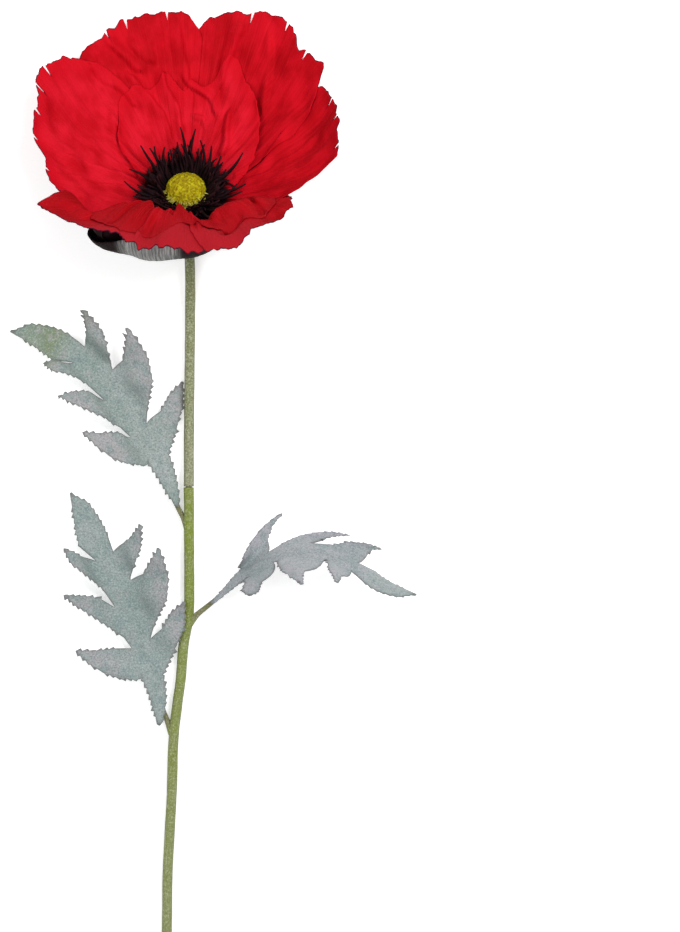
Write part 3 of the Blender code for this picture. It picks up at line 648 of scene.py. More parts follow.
def build_petal(name, petal, layer, number, outside, inside):
    """A petal as a fine sheet, with slits, small scallops and folds."""
    start, end = petal.rim[0][0], petal.rim[-1][0]
    stops = [slit + SLIT_HALF_WIDTH * side for slit, _ in petal.slits for side in SLIT_SHAPE]
    azimuth = start
    while azimuth < end:
        if all(abs(azimuth - stop) > COLUMN_SPACING * 0.6 for stop in stops):
            stops.append(azimuth)
        azimuth += COLUMN_SPACING
    stops = sorted([*stops, end])
    seed = 3.7 * number + (31 if layer == "inner" else 0)
    waver, scallop = RIM_WAVER[layer]
    points, flow = [], []
    for column, at_rim in enumerate(stops):
        rim_reach = read_row(petal.rim, at_rim)
        depth = 0.0
        for slit, deep in petal.slits:
            away = abs(at_rim - slit) / SLIT_HALF_WIDTH
            if away < 1:
                depth = max(depth, deep * (1 - away) ** 0.8)
        rim_reach += waver * wander(at_rim * scallop, seed, 0)
        rim_reach += RIM_FRAY[0] * wander(at_rim * RIM_FRAY[1], seed, 4)
        at_base = mix(start, end, column / (len(stops) - 1))
        for row in range(PETAL_ROWS):
            share = (row / (PETAL_ROWS - 1)) ** 0.9
            azimuth = mix(at_base, at_rim, smooth(share * 2))
            reach = share * (rim_reach - depth * share**6)
            offset = petal_offset(petal, layer, azimuth, reach, share)
            offset += crinkles(reach, azimuth, seed)
            point = bowl(bowl_handles(azimuth), reach, azimuth, offset)
            point.z = max(point.z, LOWEST_PETAL)
            points.append(point)
            from_rim = (1 - share) * rim_reach * REACH_LENGTH
            flow.append((azimuth, reach, from_rim + PLAIN_RIM * (at_rim < petal.dark_from)))
    faces = grid_faces(len(stops), PETAL_ROWS)
    piece = add_piece(name + "_cloth", points, faces, flow, outside, (name,))
    thicken(piece, PETAL_SHEET, inside)


def build_petals():
    deep, bright = (0.485, 0.003, 0.010), (0.625, 0.008, 0.022)
    # shade and middle: the red darkened as painted shade, for the insides of the back and right outer
    # petals, which stand turned from the light.
    shade, middle = (0.40, 0.0015, 0.006), (0.55, 0.0035, 0.012)
    # dusk and wall: the red darkened as painted shade, for the front lip and the inner front wall,
    # which turn down and away from the light.
    dusk, wall = (0.28, 0.001, 0.003), (0.40, 0.002, 0.007)
    dark_rim, red_rim = (0.060, 0.004, 0.018), (0.50, 0.004, 0.010)
    lit = petal_material("petal_left_red_rim_shade", deep, bright, 0.22, dark_rim, rim_shade=middle)
    # The back and right outer petals' insides: the same red with painted shade.
    shaded = petal_material("petal_back_red_painted_shade", shade, middle, 0.22, dark_rim)
    # The front lip and the inner front petals in painted shade, the front petals darkest towards
    # their rims.
    lip = petal_material("petal_lip_red_painted_shade", dusk, wall, 0.22, dark_rim, lip=True)
    inner = petal_material("petal_inner_red_rim_shade", deep, bright, 0.22, red_rim, rim_shade=middle)
    front = petal_material("petal_front_red_painted_shade", dusk, wall, 0.22, wall, rim_shade=(0.32, 0.004, 0.008))
    outside = petal_material("petal_outer_back", deep, bright, 0.55, dark_rim)
    # Petals 4 and 5 are black far up their outside: partly the dye at the petal's base, partly
    # painted shade of their underside below the lip.
    belly_dye_and_shade = petal_material("petal_belly_dye_and_shade", deep, bright, 0.82, dark_rim)
    insides = (shaded, shaded, shaded, lit, lip, lip)
    for number, (petal, inside) in enumerate(zip(OUTER_PETALS, insides), 1):
        back = belly_dye_and_shade if number in (4, 5) else outside
        build_petal(f"petal_outer_{number}", petal, "outer", number, back, inside)
    for number, (petal, inside) in enumerate(zip(INNER_PETALS, (inner, inner, front, front)), 1):
        build_petal(f"petal_inner_{number}", petal, "inner", number, inside, inside)


# -------- calyx

# Three ragged sepals under the bowl, each an azimuth and how far it reaches. The cup lies this
# far outside the bowl, at its base and at its rim, and a little further at its front.
CALYX_SHEET = 0.5
CALYX_DROP = (1.9, 3.3)
CALYX_FRONT_DROP = 0.7
CALYX_COLUMNS, CALYX_ROWS = 240, 26
SEPALS = ((118, 0.27), (246, 0.56), (357, 0.30))
SEPAL_HALF_WIDTH = 62
SEPAL_NOTCH = 0.10


def sepal_reach(azimuth):
    """How far the calyx reaches at this azimuth."""
    reach = SEPAL_NOTCH
    for centre, tip in SEPALS:
        away = abs((azimuth - centre + 180) % 360 - 180) / SEPAL_HALF_WIDTH
        if away < 1:
            reach = max(reach, mix(SEPAL_NOTCH, tip, (1 - away**2) ** 0.6))
    return reach


def build_calyx(material):
    points, flow = [], []
    for column in range(CALYX_COLUMNS):
        azimuth = 360 * column / CALYX_COLUMNS
        ragged = 0.008 * wander(azimuth * 0.9, 2, 0) + 0.006 * (column % 5 < 2)
        for row in range(CALYX_ROWS):
            share = row / (CALYX_ROWS - 1)
            reach = share * (sepal_reach(azimuth) + ragged * share**4)
            rim_drop = CALYX_DROP[1] - CALYX_FRONT_DROP * sine(azimuth)
            drop = mix(CALYX_DROP[0], rim_drop, smooth(reach / 0.25))
            wrinkle = 0.22 * wander(azimuth * 0.5, reach * 14, 5) * smooth(share * 3)
            points.append(bowl(bowl_handles(azimuth), reach, azimuth, -drop + wrinkle))
            flow.append((azimuth, reach, 0))
    faces = grid_faces(CALYX_COLUMNS, CALYX_ROWS, closed=True)
    cup = add_piece("calyx_cup", points, faces, flow, material, ("calyx",))
    thicken(cup, CALYX_SHEET)


# -------- stems

# The skins lie SKIN_INSET inside the part's stems. A step is the distance between two rings.
STEM_RADIUS = 2.35
SKIN_INSET = 0.05
STEM_ROUGHNESS, STALK_ROUGHNESS = 0.10, 0.12
STEM_SIDES, STALK_SIDES = 20, 14
STEM_STEP, STALK_STEP = 2.5, 1.5

# The bloom's peg and the receptacle under it, each a row of heights over the seat with radii.
BLOOM_PEG = ((9.8, 1.9), (-2.8, 2.0))
RECEPTACLE = ((-2.9, 6.0), (-4.2, 4.4), (-5.4, 3.0))
NECK_LENGTH = 6.0
NECK_BEND_RADIUS = 10.0
NECK_STEPS = 12

# The joint's peg on the upper stem, and the mouth and the cut end of the lower one: places along
# the stem with radii.
JOINT_PEG = ((0.1, 1.45), (11.5, 1.45))
SOCKET_MOUTH = ((0.02, 1.7), (0, 2.1), (0.3, STEM_RADIUS))
CUT_END = ((0.3, STEM_RADIUS - 0.06), (0.02, 2.0), (0, 1.2))

# The stems' ways, from the bloom down: across, along and height.
UPPER_STEM = ((1.4, -30, 5.7), (1.5, -60, 6.1), (1.1, -96, 6.1), (0.9, -131.2, 5.6))
LOWER_STEM = (
    (0.9, -131.6, 5.6), (1.0, -150, 5.3), (1.1, -170, 5.0), (1.1, -182, 4.9), (0.5, -192, 4.8),
    (-1.5, -203, 4.7), (-2.7, -218, 4.4), (-4.3, -229.5, 4.2), (-6.0, -245, 4.0), (-6.9, -271, 3.6),
    (-8.6, -303, 3.2), (-9.1, -331, 2.9), (-9.6, -375, 2.65), (-10.0, -417.5, 2.37),
)

# The leaf stalks' ways, given as the stem's are. Each foot is thicker by the first number of
# STALK_FOOT, over the second as a share of the stalk.
STALK_RADII = (1.4, 1.0)
STALK_FOOT = (0.5, 0.35)
STALKS = (
    ((1.0, -152, 5.3), (-1.0, -146.5, 4.4), (-4.6, -139.5, 1.9), (-8.6, -128, 1.2)),
    ((0.6, -194, 4.9), (4.5, -189.3, 5.4), (10, -184.8, 7.0), (16.6, -179.4, 10.2)),
    ((-6.2, -244, 4.0), (-8.6, -238, 3.0), (-11.4, -230, 1.8), (-12.5, -221, 1.2)),
)


def smooth_path(points, step):
    """Points about a step apart on a smooth curve through the given ones."""
    knots = [Vector(point) for point in points]
    path = []
    for index, (start, end) in enumerate(zip(knots, knots[1:])):
        before = knots[index - 1] if index else start
        after = knots[index + 2] if index + 2 < len(knots) else end
        leave = start + (end - before) / 6
        arrive = end - (after - start) / 6
        count = max(1, round((end - start).length / step))
        path += interpolate_bezier(start, leave, arrive, end, count + 1)[:-1]
    path.append(knots[-1])
    return path


def even_path(path, count):
    """The path as this many points at even distances."""
    lengths = [0.0]
    for start, end in zip(path, path[1:]):
        lengths.append(lengths[-1] + (end - start).length)
    even = []
    for number in range(count):
        target = lengths[-1] * number / (count - 1)
        index = max(i for i, length in enumerate(lengths[:-1]) if length <= target)
        share = (target - lengths[index]) / (lengths[index + 1] - lengths[index])
        even.append(path[index].lerp(path[index + 1], share))
    return even


def tube_mesh(stops, sides, rough=0.0, seed=0.0):
    """A closed tube through stops of (point, radius): its points, faces and flow.

    Its flow holds the place round the tube, the length so far and the radius.
    """
    points, faces, flow = [], [], []
    side = Vector((1, 0, 0))
    length = 0.0
    for index, (point, radius) in enumerate(stops):
        before = stops[max(index - 1, 0)][0]
        after = stops[min(index + 1, len(stops) - 1)][0]
        way = (after - before).normalized()
        side = (side - way * side.dot(way)).normalized()
        length += (point - before).length
        for corner in range(sides):
            turn = math.tau * corner / sides
            out = side * math.cos(turn) + way.cross(side) * math.sin(turn)
            swell = rough * wander(out.x * 1.5, out.z * 1.5 + seed, length * 0.16)
            points.append(point + out * (radius + swell))
            flow.append((corner * 24.0 / sides, length, radius))
    for ring in range(len(stops) - 1):
        for corner in range(sides):
            after = (corner + 1) % sides
            low, high = ring * sides, (ring + 1) * sides
            faces.append((low + corner, low + after, high + after, high + corner))
    faces.append(tuple(range(sides))[::-1])
    faces.append(tuple(range((len(stops) - 1) * sides, len(stops) * sides)))
    return points, faces, flow


def join_piece(name, parts, material, nodes):
    """One piece made of several closed meshes, each its points, faces and flow."""
    points, faces, flow = [], [], []
    for more_points, more_faces, more_flow in parts:
        first = len(points)
        points += more_points
        flow += more_flow
        faces += [tuple(first + index for index in face) for face in more_faces]
    add_piece(name, points, faces, flow, material, nodes)


def neck_path():
    """The stem's way down the bloom's axis and round its bend, until it lies level."""
    axis = polar(0, 0, 1) - polar(0, 0, 0)
    start = above_seat(0, 0, -NECK_LENGTH)
    sweep = math.radians(90 - BLOOM_TILT)
    path = [start]
    for step in range(1, NECK_STEPS + 1):
        turn = sweep * step / NECK_STEPS
        forward = NECK_BEND_RADIUS * math.sin(turn)
        sideways = NECK_BEND_RADIUS * (1 - math.cos(turn))
        path.append(start - axis * forward - Vector((0, axis.z, -axis.y)) * sideways)
    return path


def build_stem_upper(material):
    stops = [(above_seat(0, 0, height), radius) for height, radius in BLOOM_PEG]
    stops += [(above_seat(0, 0, height), radius - SKIN_INSET) for height, radius in RECEPTACLE]
    neck = neck_path()
    level = smooth_path([neck[-1]] + [in_part(point) for point in UPPER_STEM], STEM_STEP)
    stops += [(point, STEM_RADIUS - SKIN_INSET) for point in neck + level[1:]]
    way = (in_part(LOWER_STEM[1]) - in_part(LOWER_STEM[0])).normalized()
    stops += [(level[-1] + way * along, radius) for along, radius in JOINT_PEG]
    tube = tube_mesh(stops, STEM_SIDES, STEM_ROUGHNESS)
    join_piece("stem_upper_skin", [tube], material, ("stem_upper",))


def build_stem_lower(material):
    path = smooth_path([in_part(point) for point in LOWER_STEM], STEM_STEP)
    stops = [(point, STEM_RADIUS - SKIN_INSET) for point in path]
    way, back = (path[1] - path[0]).normalized(), (path[-2] - path[-1]).normalized()
    stops[:1] = [(path[0] + way * along, radius) for along, radius in SOCKET_MOUTH]
    stops[-1:] = [(path[-1] + back * along, radius) for along, radius in CUT_END]
    parts = [tube_mesh(stops, STEM_SIDES, STEM_ROUGHNESS, 5.0)]
    for number, points in enumerate(STALKS):
        stalk = smooth_path([in_part(point) for point in points], STALK_STEP)
        stops = []
        for index, point in enumerate(stalk):
            share = index / (len(stalk) - 1)
            swell = STALK_FOOT[0] * (1 - smooth(share / STALK_FOOT[1]))
            stops.append((point, mix(*STALK_RADII, share) - SKIN_INSET + swell))
        parts.append(tube_mesh(stops, STALK_SIDES, STALK_ROUGHNESS, number * 3.0))
    join_piece("stem_lower_skin", parts, material, ("stem_lower",))


# -------- leaves

# LEAF_THICKNESS is the part's. The blade is cut into triangles of about LEAF_CELL, in rows of
# LEAF_COLUMNS, and along its midrib at MIDRIB_SPOTS.
LEAF_THICKNESS = 0.8
LEAF_SHEET = 0.55
LEAF_LENGTH = 112.8
LEAF_HALF_WIDTH = 31
LEAF_CELL = 1.7
LEAF_COLUMNS = range(-20, 21)
MIDRIB_SPOTS = range(3, 110, 2)
MIDRIB_POINTS = 40

# A leaf's outline from its base: the side to the right of its midrib up to the tip, then the
# left side back down, each as a distance across and a distance along.
LEAF_RIGHT = (
    (0.3, 0), (1.8, 4), (3.0, 11), (4.0, 22),
    (13.5, 31), (21, 39), (25, 50), (16.7, 46.3), (11, 41.2), (4.6, 38.5),
    (12.4, 47.5), (19.4, 55), (22.6, 64), (22.8, 76), (16, 71.2), (11.2, 67.6), (5.8, 66),
    (11.8, 73.4), (17, 79.4), (21, 89.5), (12.3, 84.5), (4.6, 80.2),
    (5.4, 87), (5.5, 95.6), (4.7, 104.7), (0, 112.8),
)
LEAF_LEFT = (
    (-2.4, 106.7), (-6.4, 96.8), (-8.4, 89), (-4.4, 80.2),
    (-9.8, 85.5), (-16, 92.5), (-16.4, 85), (-12, 76.4), (-7.6, 68.6), (-5.2, 57.4),
    (-9.8, 63), (-15.8, 67), (-25.5, 72.5), (-22.5, 65), (-17, 57.8), (-10.8, 50), (-6.4, 43.4),
    (-5, 37.6), (-12, 40.4), (-20, 42.6), (-29, 46), (-25, 38), (-20.8, 32.2), (-14.6, 26.2),
    (-7.4, 23), (-5.0, 25), (-5.4, 21), (-3.8, 11.5), (-1.8, 4), (-0.3, 0),
)

# The edge's teeth, of which none stands within NOTCH_CLEAR of a notch.
TOOTH_SPACING = 2.5
TOOTH_DEPTH = 0.9
TOOTH_PEAK = 0.78
NOTCH_CLEAR = 7.5

# The lobes' roots and tips in the flat leaf, three on the right from the base up, then three on
# the left, and the gap above each lobe: its notch and a point between the lobes' tips.
LOBE_ROOTS = ((3, 29), (3, 46), (3, 69), (-3, 28), (-3, 42), (-3, 64))
LOBE_TIPS = ((25, 50), (22.8, 76), (21, 89.5), (-29, 46), (-25.5, 72.5), (-16, 92.5))
LOBE_GAPS = (
    ((4.6, 38.5), (23, 53)), ((5.8, 66), (20.5, 78.5)), ((4.6, 80.2), (12, 92)),
    ((-5, 37.6), (-24, 53)), ((-5.2, 57.4), (-19, 76)), ((-4.4, 80.2), (-11.5, 91.5)),
)

# A lobe bends from LOBE_HINGE off the midrib on, over LOBE_BLEND. NECK tells where the leaf's
# neck ends and over what length it widens, and the leaf is flat at its base, up to FLAT_BASE.
LOBE_HINGE = 4.2
LOBE_BLEND = 8.0
NECK = (10, 16)
FLAT_BASE = 25

# The midrib's and the veins' half widths and heights, and how much the blade is dimpled.
MIDRIB_SIZE = (1.3, 0.55)
VEIN_SIZE = (0.8, 0.32)
DIMPLE = 0.28

# A leaf's midrib, given as the stem's points are, how steeply its two sides rise, each lobe's
# own turn within the leaf, how steeply it rises and its twist about its own length, how high the
# leaf ripples, and how wide its neck is against the shared outline.
Leaf = namedtuple("Leaf", "midrib rise lobes ripple neck")
LEAVES = {
    "leaf_upper_left": Leaf(
        ((-4.1, -140.4, 4.6), (-11.3, -119.7, 3.4), (-20.7, -107.1, 4.2), (-31.5, -91.4, 5.2),
         (-44.6, -75, 5.8), (-61, -65, 5.0), (-80.1, -61.2, 2.2)), (8, 8),
        ((-12, -6, 0), (-8, 28, 0), (-8, 40, 0), (-12, 30, 0), (-4, 30, 0), (-6, 30, 0)), 1.2, 1.0),
    "leaf_right": Leaf(
        ((11, -184.2, 10.6), (18, -178, 14), (25.5, -171, 18), (34.4, -164.9, 23.5),
         (43.2, -160.3, 27.3), (51.3, -158.6, 30.4), (60.3, -159.6, 32.6), (68, -162, 33.5),
         (76, -166.8, 33), (87.8, -175, 30), (103.7, -179.6, 25)), (54, -66),
        ((-66, 66, 0), (-44, 66, 0), (-32, 70, 0), (-5, -53, 70), (0, -66, 50), (20, -58, 50)),
        0.5, 0.45),
    "leaf_lower_left": Leaf(
        ((-12.3, -239.4, 5.6), (-12.7, -225.9, 4.6), (-14.9, -216.3, 4.2), (-18.7, -206.5, 4.2),
         (-24.8, -191.7, 5.2), (-31.5, -174.5, 5.6), (-37.4, -162.5, 5.2), (-44.1, -149, 4.0),
         (-53.1, -134.1, 1.0)), (8, 4),
        ((-4, 16, 0), (-8, 26, 0), (-12, 30, 0), (0, 3, 0), (0, 20, 0), (4, 36, 0)), 1.2, 1.0),
}


def toothed(outline):
    """The outline with small uneven saw teeth, which point along it, on its longer stretches."""
    corners = [Vector(point) for point in outline]
    edge = []
    for start, end in zip(corners, corners[1:]):
        edge.append(start)
        count = int((end - start).length / TOOTH_SPACING)
        outward = Vector((end.y - start.y, start.x - end.x)).normalized()
        towards_tip = end.y > start.y if start.x + end.x > 0 else start.y > end.y
        peak = TOOTH_PEAK if towards_tip else 1 - TOOTH_PEAK
        for tooth in range(count):
            root = start.lerp(end, (tooth + peak) / count)
            size = 1 + 1.3 * wander(root.x * 0.9, root.y * 0.9, 4)
            if all((root - Vector(notch)).length > NOTCH_CLEAR for notch, _ in LOBE_GAPS):
                edge.append(root + outward * TOOTH_DEPTH * size)
            if tooth < count - 1:
                edge.append(start.lerp(end, (tooth + 1) / count))
    edge.append(corners[-1])
    return edge


def sides_of(edge):
    """The sides of a closed outline, each its start and its end."""
    return zip(edge, [*edge[1:], edge[0]])


def split_long(edge, longest):
    """The closed outline with its long sides split evenly."""
    split = []
    for start, end in sides_of(edge):
        parts = max(1, math.ceil((end - start).length / longest))
        split += [start.lerp(end, part / parts) for part in range(parts)]
    return split


def distance_to_edge(point, edge):
    """How far a point lies from a closed outline."""
    nearest = math.inf
    for start, end in sides_of(edge):
        side = end - start
        share = max(0.0, min(1.0, (point - start).dot(side) / side.length_squared))
        nearest = min(nearest, (point - start - side * share).length)
    return nearest


def is_inside(point, edge):
    """Whether a point lies inside a closed outline, by the sides that a ray from it crosses."""
    inside = False
    for start, end in sides_of(edge):
        if (start.y > point.y) != (end.y > point.y):
            crossing = start.x + (point.y - start.y) / (end.y - start.y) * (end.x - start.x)
            inside ^= point.x < crossing
    return inside


def leaf_net():
    """The flat leaf cut into small even triangles: corners, faces and distances to the edge."""
    outline = toothed(LEAF_RIGHT) + toothed(LEAF_LEFT)
    edge = split_long(outline, LEAF_CELL)
    inner = [Vector((0, along)) for along in MIDRIB_SPOTS]
    for row in range(1, round(LEAF_LENGTH / LEAF_CELL)):
        for column in LEAF_COLUMNS:
            point = Vector((column + 0.5 * (row % 2), row)) * LEAF_CELL
            if LEAF_CELL / 2 < abs(point.x) < LEAF_HALF_WIDTH and is_inside(point, outline):
                if distance_to_edge(point, outline) > LEAF_CELL * 0.45:
                    inner.append(point)
    first = len(edge)
    midrib = [(index, index + 1) for index in range(first, first + len(MIDRIB_SPOTS) - 1)]
    net = delaunay_2d_cdt(edge + inner, midrib, [range(len(edge))], 1, 1e-4)
    depths = [distance_to_edge(Vector(corner), outline) for corner in net[0]]
    return net[0], net[2], depths


def lobe_at(across, along):
    """The number of the lobe that holds this point of the flat leaf, or None above them all."""
    numbers = range(3) if across > 0 else range(3, 6)
    for number in numbers:
        notch, far = LOBE_GAPS[number]
        share = (across - notch[0]) / (far[0] - notch[0])
        if along < mix(notch[1], far[1], share):
            return number
    return None


def leaf_point(leaf, path, across, along, lift):
    """The place of a point of the flat leaf once the leaf and its lobes are bent."""
    lobe = lobe_at(across, along)
    side_rise = leaf.rise[0 if across > 0 else 1]
    turn, lobe_rise, twist = (0, side_rise, 0) if lobe is None else leaf.lobes[lobe]
    share = smooth((abs(across) - LOBE_HINGE) / LOBE_BLEND)
    stand = 0.0
    if lobe is not None and across:
        root = Vector(LOBE_ROOTS[lobe])
        turned_by = Matrix.Rotation(math.radians(turn * share), 2)
        lobe_way = (turned_by @ (Vector(LOBE_TIPS[lobe]) - root)).normalized()
        beside = Vector((-lobe_way.y, lobe_way.x))
        spot = turned_by @ (Vector((across, along)) - root)
        off_axis = spot.dot(beside)
        twisted = math.radians(twist * share)
        across, along = root + spot - beside * off_axis * (1 - math.cos(twisted))
        stand = off_axis * math.sin(twisted)
    across *= mix(leaf.neck, 1, smooth((along - NECK[0]) / NECK[1]))
    rise = math.radians(mix(side_rise * smooth(along / FLAT_BASE), lobe_rise, share))
    place = min(max(along / LEAF_LENGTH, 0), 1) * (len(path) - 1)
    index = min(int(place), len(path) - 2)
    centre = path[index].lerp(path[index + 1], place - index)
    before, after = path[max(index - 2, 0)], path[min(index + 3, len(path) - 1)]
    way = (after - before).normalized()
    level = Vector((way.y, -way.x, 0)).normalized()
    side = level * math.cos(rise) * math.copysign(1, across) + Vector((0, 0, math.sin(rise)))
    up = level.cross(way)
    ripple = leaf.ripple * math.sin(0.33 * along + 0.16 * across) * min(1, abs(across) / 12)
    point = centre + side * abs(across) + up * (ripple + lift + stand)
    point.z = max(point.z, LEAF_THICKNESS / 2)
    return point


def vein_rise(across, along, depth):
    """How far the midrib and the lobes' veins stand up at a point of the flat leaf."""
    width, height = MIDRIB_SIZE
    rise = height * max(0.0, 1 - (abs(across) / width) ** 2) * (1 - 0.6 * along / LEAF_LENGTH)
    width, height = VEIN_SIZE
    point = Vector((across, along))
    for root, tip in zip(LOBE_ROOTS, LOBE_TIPS):
        start = Vector((0, root[1] - 3))
        way = Vector(tip) - start
        share = (point - start).dot(way) / way.length_squared
        if 0 < share < 0.92:
            away = (point - start - way * share).length / width
            rise = max(rise, height * (1 - share) * max(0.0, 1 - away * away))
    return rise * smooth(depth / 1.5)


def build_leaf(name, leaf, net, material, seed):
    corners, faces, depths = net
    path = even_path(smooth_path([in_part(point) for point in leaf.midrib], 3), MIDRIB_POINTS)
    points, flow = [], []
    for corner, depth in zip(corners, depths):
        across, along = corner
        dimple = DIMPLE * wander(across * 0.22, along * 0.22, seed)
        lift = vein_rise(across, along, depth) + dimple
        points.append(leaf_point(leaf, path, across, along, lift))
        flow.append((across, along, depth))
    blade = add_piece(name + "_blade", points, faces, flow, material, (name,))
    thicken(blade, LEAF_SHEET)


# -------- stamens and seed head

# The ring that the filaments stand on: its inner and outer radius, each with its height.
STAMEN_RING = ((2.4, 4.4), (11.8, 6.3))
STAMEN_RING_THICKNESS = 0.7
RING_SIDES = 72

# The seed head is a dome over an upright side, and its skin lies POD_INSET inside the part's, in
# radius and in height. The dome takes up POD_DOME_SHARE of the rows.
POD_RADIUS = 9.3
POD_BASE_HEIGHT = 6.7
POD_DOME = 7.4
POD_SIDE = 1.6
POD_INSET = (0.35, 0.2)
POD_DOME_SHARE = 0.9
POD_COLUMNS, POD_ROWS = 128, 44
BRISTLE_COUNT = 150
BRISTLE_RADII = (0.28, 0.22, 0.12)
BRISTLE_SIDES = 4

# The rows of filaments: how many, where they root, and how far, high and thick each may be.
Row = namedtuple("Row", "count root reach height radius")
STAMEN_ROWS = (
    Row(60, 9.6, (2.5, 5.5), (5.0, 8.5), (0.6, 0.95)),
    Row(60, 10.4, (4.5, 8.5), (3.0, 8.5), (0.6, 1.0)),
    Row(34, 11.0, (8.0, 16.0), (4.0, 12.0), (0.8, 1.2)),
    Row(50, 11.4, (5.0, 10.5), (0.5, 3.5), (0.6, 1.0)),
)

# The filaments at the back stand higher, by up to this share.
BACK_RISE = 0.75
FILAMENT_STEPS = 8
FILAMENT_SIDES = 6
FILAMENT_TIP = 0.32


def spine(points, radii, sides):
    """A pointed spine through the given points. Its flow holds the share of the way to its tip."""
    corners, faces, _ = tube_mesh(list(zip(points, radii)), sides)
    last = len(points) - 1
    return corners, faces, [(0, index // sides / last, 0) for index in range(len(corners))]


def build_stamens(material):
    draw = random.Random(7)
    (inner, low), (outer, high) = STAMEN_RING
    thick = STAMEN_RING_THICKNESS
    profile = ((inner, low), (outer, high), (outer + 0.3, high + thick / 2), (outer, high + thick),
               (inner, low + thick))
    ring = [
        above_seat(radius, 360 * corner / RING_SIDES, height)
        for corner in range(RING_SIDES) for radius, height in profile
    ]
    ring_faces = grid_faces(RING_SIDES, len(profile), closed=True, looped=True)
    parts = [(ring, ring_faces, [(0, 0, 0)] * len(ring))]
    for row in STAMEN_ROWS:
        for number in range(row.count):
            azimuth = 360 * (number + draw.uniform(-0.45, 0.45)) / row.count
            reach = draw.uniform(*row.reach)
            height = draw.uniform(*row.height)
            height *= 1 + BACK_RISE * max(0.0, sine(azimuth))
            clump = 14 * wander(azimuth * 0.09, row.root, 2)
            reach *= 1 + 0.35 * wander(azimuth * 0.07, row.root, 8)
            lean = clump + draw.uniform(-9, 9)
            curl = draw.uniform(-9, 9)
            thick = draw.uniform(*row.radius)
            points, radii = [], []
            for step in range(FILAMENT_STEPS):
                share = step / (FILAMENT_STEPS - 1)
                turn = azimuth + lean * share + curl * math.sin(math.pi * share)
                lift = high + 0.2 + height * share**1.3
                points.append(above_seat(row.root + reach * share, turn, lift))
                radii.append(mix(thick, FILAMENT_TIP, share**1.6))
            parts.append(spine(points, radii, FILAMENT_SIDES))
    join_piece("stamen_fringe", parts, material, ("stamens",))


def build_seed_pod(material, bristle):
    draw = random.Random(11)
    base, shoulder = POD_BASE_HEIGHT, POD_BASE_HEIGHT + POD_SIDE
    points, flow = [], []
    for column in range(POD_COLUMNS):
        azimuth = 360 * column / POD_COLUMNS
        for row in range(POD_ROWS):
            share = row / (POD_ROWS - 1)
            turn = 90 - 90 * min(1, share / POD_DOME_SHARE)
            radius = POD_RADIUS * cosine(turn) - POD_INSET[0]
            height = shoulder + (POD_DOME - POD_SIDE) * sine(turn) - POD_INSET[1]
            if share > POD_DOME_SHARE:
                down = (share - POD_DOME_SHARE) / (1 - POD_DOME_SHARE)
                height = mix(shoulder, base + 0.1, down)
                radius = POD_RADIUS - POD_INSET[0] - 0.8 * down
            radius = max(radius, 0.01)
            place = Vector((radius * cosine(azimuth), radius * sine(azimuth), height)) * 1.1
            grain = noise.noise(place) * 0.28 + abs(noise.noise(place * 2.1)) * 0.3
            point = above_seat(radius, azimuth, height)
            out = (point - above_seat(0, 0, base)).normalized()
            points.append(point + out * grain)
            flow.append((0, 0, min(1.0, 0.5 + 2 * grain)))
    faces = grid_faces(POD_COLUMNS, POD_ROWS, closed=True)
    add_piece("seed_pod_head", points, faces, flow, material, ("seed_pod",))
    parts = []
    for _ in range(BRISTLE_COUNT):
        azimuth = 265 + draw.uniform(-80, 80) * draw.uniform(0.4, 1)
        lift = draw.uniform(0, 2.4)
        root = above_seat(POD_RADIUS - 1.6, azimuth, base + 0.7 + lift)
        tip = above_seat(POD_RADIUS + draw.uniform(0.2, 1.8), azimuth + draw.uniform(-6, 6),
                         base + lift + draw.uniform(-0.2, 1.5))
        parts.append(spine([root, root.lerp(tip, 0.6), tip], BRISTLE_RADII, BRISTLE_SIDES))
    join_piece("seed_pod_bristles", parts, bristle, ())


# -------- floor, light and camera

# These are in metres. The floor glows a little: painted light that washes out the flower's shadows on
# it.
FLOOR_HALF_SIZE = 3.0
FLOOR_DROP = 0.0002
FLOOR_PAINTED_GLOW = 0.42
WORLD_LIGHT = 0.50
LIGHT_AIM = Vector((0.0, -0.15, 0.03))

# Each lamp's place, size and power.
LAMPS = {"key": ((0.75, 0.5, 1.9), 0.7, 31), "fill": ((-0.8, -0.5, 1.9), 1.2, 14)}

# The view in millimetres: how far the camera stands over VIEW_FLOOR, what its frame takes in
# along the flower, and where it points from the bloom's centre.
VIEW_DISTANCE = 2500
VIEW_HEIGHT = 419.4
VIEW_OFFSET = (69.3, -121.95)
VIEW_FLOOR = 18
SENSOR_WIDTH = 36


def build_floor():
    data = bpy.data.meshes.new("floor")
    size = FLOOR_HALF_SIZE
    corners = [(-size, -size, 0), (size, -size, 0), (size, size, 0), (-size, size, 0)]
    data.from_pydata(corners, [], [(0, 1, 2, 3)])
    made = Nodes("floor_pale_glowing", (0.86, 0.86, 0.86))
    made.cover(made.noise(made.place(), 3, 2, 0.5), (0.89, 0.89, 0.89))
    made.set("Base Color", made.colour)
    made.set("Roughness", 0.9)
    made.set("Specular IOR Level", 0.1)
    # Painted light: the floor glows, so the flower's shadows on it wash out.
    made.set("Emission Color", (1, 1, 1, 1))
    made.set("Emission Strength", FLOOR_PAINTED_GLOW)
    data.materials.append(made.material)
    floor = add_object("floor", data)
    floor.location.z = -FLOOR_DROP


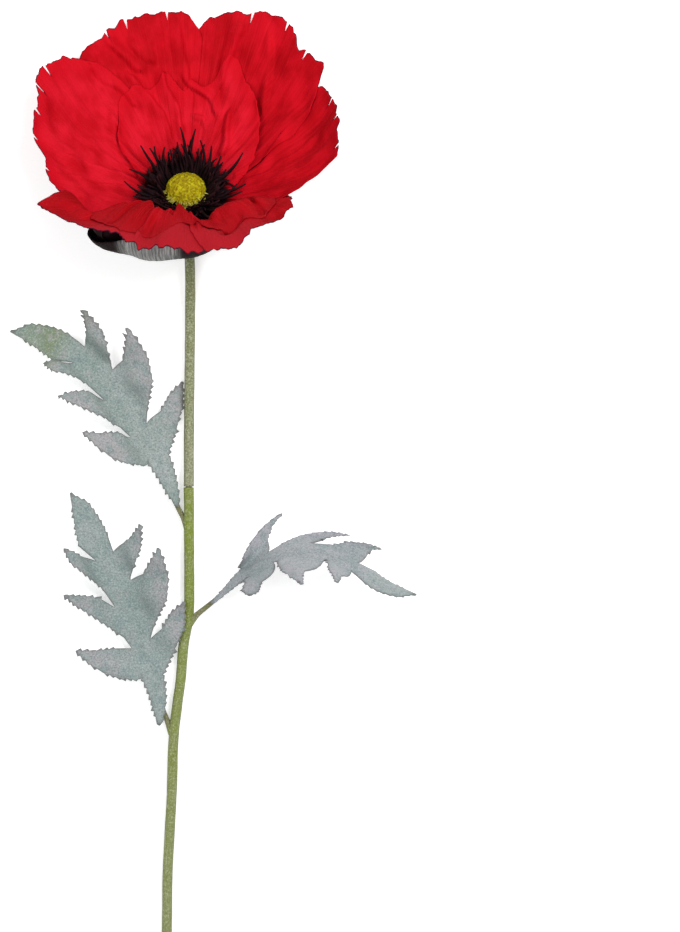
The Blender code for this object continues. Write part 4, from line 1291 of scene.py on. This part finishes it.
def build_light():
    world = bpy.data.worlds.new("studio")
    bpy.context.scene.world = world
    world.use_nodes = True
    world.node_tree.nodes["Background"].inputs[0].default_value = (1, 1, 1, 1)
    world.node_tree.nodes["Background"].inputs[1].default_value = WORLD_LIGHT
    for name, (place, size, power) in LAMPS.items():
        light = bpy.data.lights.new(name, "AREA")
        light.size = size
        light.energy = power
        lamp = add_object(name, light)
        lamp.location = place
        lamp.rotation_euler = (LIGHT_AIM - lamp.location).to_track_quat("-Z", "Y").to_euler()


def build_camera():
    """Looks straight down at the flower, from far enough that the view is nearly flat."""
    camera = bpy.data.cameras.new("camera")
    camera.sensor_width = SENSOR_WIDTH
    camera.lens = SENSOR_WIDTH * VIEW_DISTANCE / VIEW_HEIGHT
    camera.clip_start = 0.05
    camera.clip_end = 20
    held = add_object("camera", camera)
    across, along = BLOOM_CENTRE.x + VIEW_OFFSET[0], BLOOM_CENTRE.y + VIEW_OFFSET[1]
    held.location = Vector((across, along, VIEW_FLOOR + VIEW_DISTANCE)) * MM
    bpy.context.scene.camera = held


# -------- all of it

# Each leaf's material: its name, its middle's two tones, its lobes and its tip.
LEAF_COLOURS = {
    "leaf_upper_left": (
        "leaf_flock_a", (0.240, 0.305, 0.280), (0.300, 0.345, 0.335), (0.345, 0.340, 0.350),
        (0.185, 0.240, 0.140)),
    "leaf_right": (
        "leaf_flock_b", (0.250, 0.290, 0.305), (0.325, 0.340, 0.360), (0.345, 0.340, 0.378),
        (0.280, 0.330, 0.320)),
    "leaf_lower_left": (
        "leaf_flock_c", (0.215, 0.280, 0.262), (0.265, 0.318, 0.308), (0.305, 0.305, 0.318),
        (0.280, 0.330, 0.320)),
}


def main():
    build_camera()
    build_light()
    build_floor()
    build_petals()
    build_calyx(calyx_material())
    build_stem_upper(stem_material(
        "stem_upper_plastic_shaded_flanks", (0.175, 0.200, 0.075), (0.240, 0.250, 0.150), (0.47, 0.48, 0.36),
        (0.075, 0.085, 0.032), 0.85))
    build_stem_lower(stem_material(
        "stem_lower_plastic_shaded_flanks", (0.165, 0.215, 0.014), (0.185, 0.210, 0.072), (0.46, 0.48, 0.34),
        (0.085, 0.105, 0.020), 0.55))
    net = leaf_net()
    for seed, (name, leaf) in enumerate(LEAVES.items()):
        build_leaf(name, leaf, net, leaf_material(*LEAF_COLOURS[name]), 7.0 * seed)
    build_stamens(stamen_material())
    build_seed_pod(pod_material(), bristle_material())
    bpy.context.scene.view_settings.view_transform = "Standard"


main()
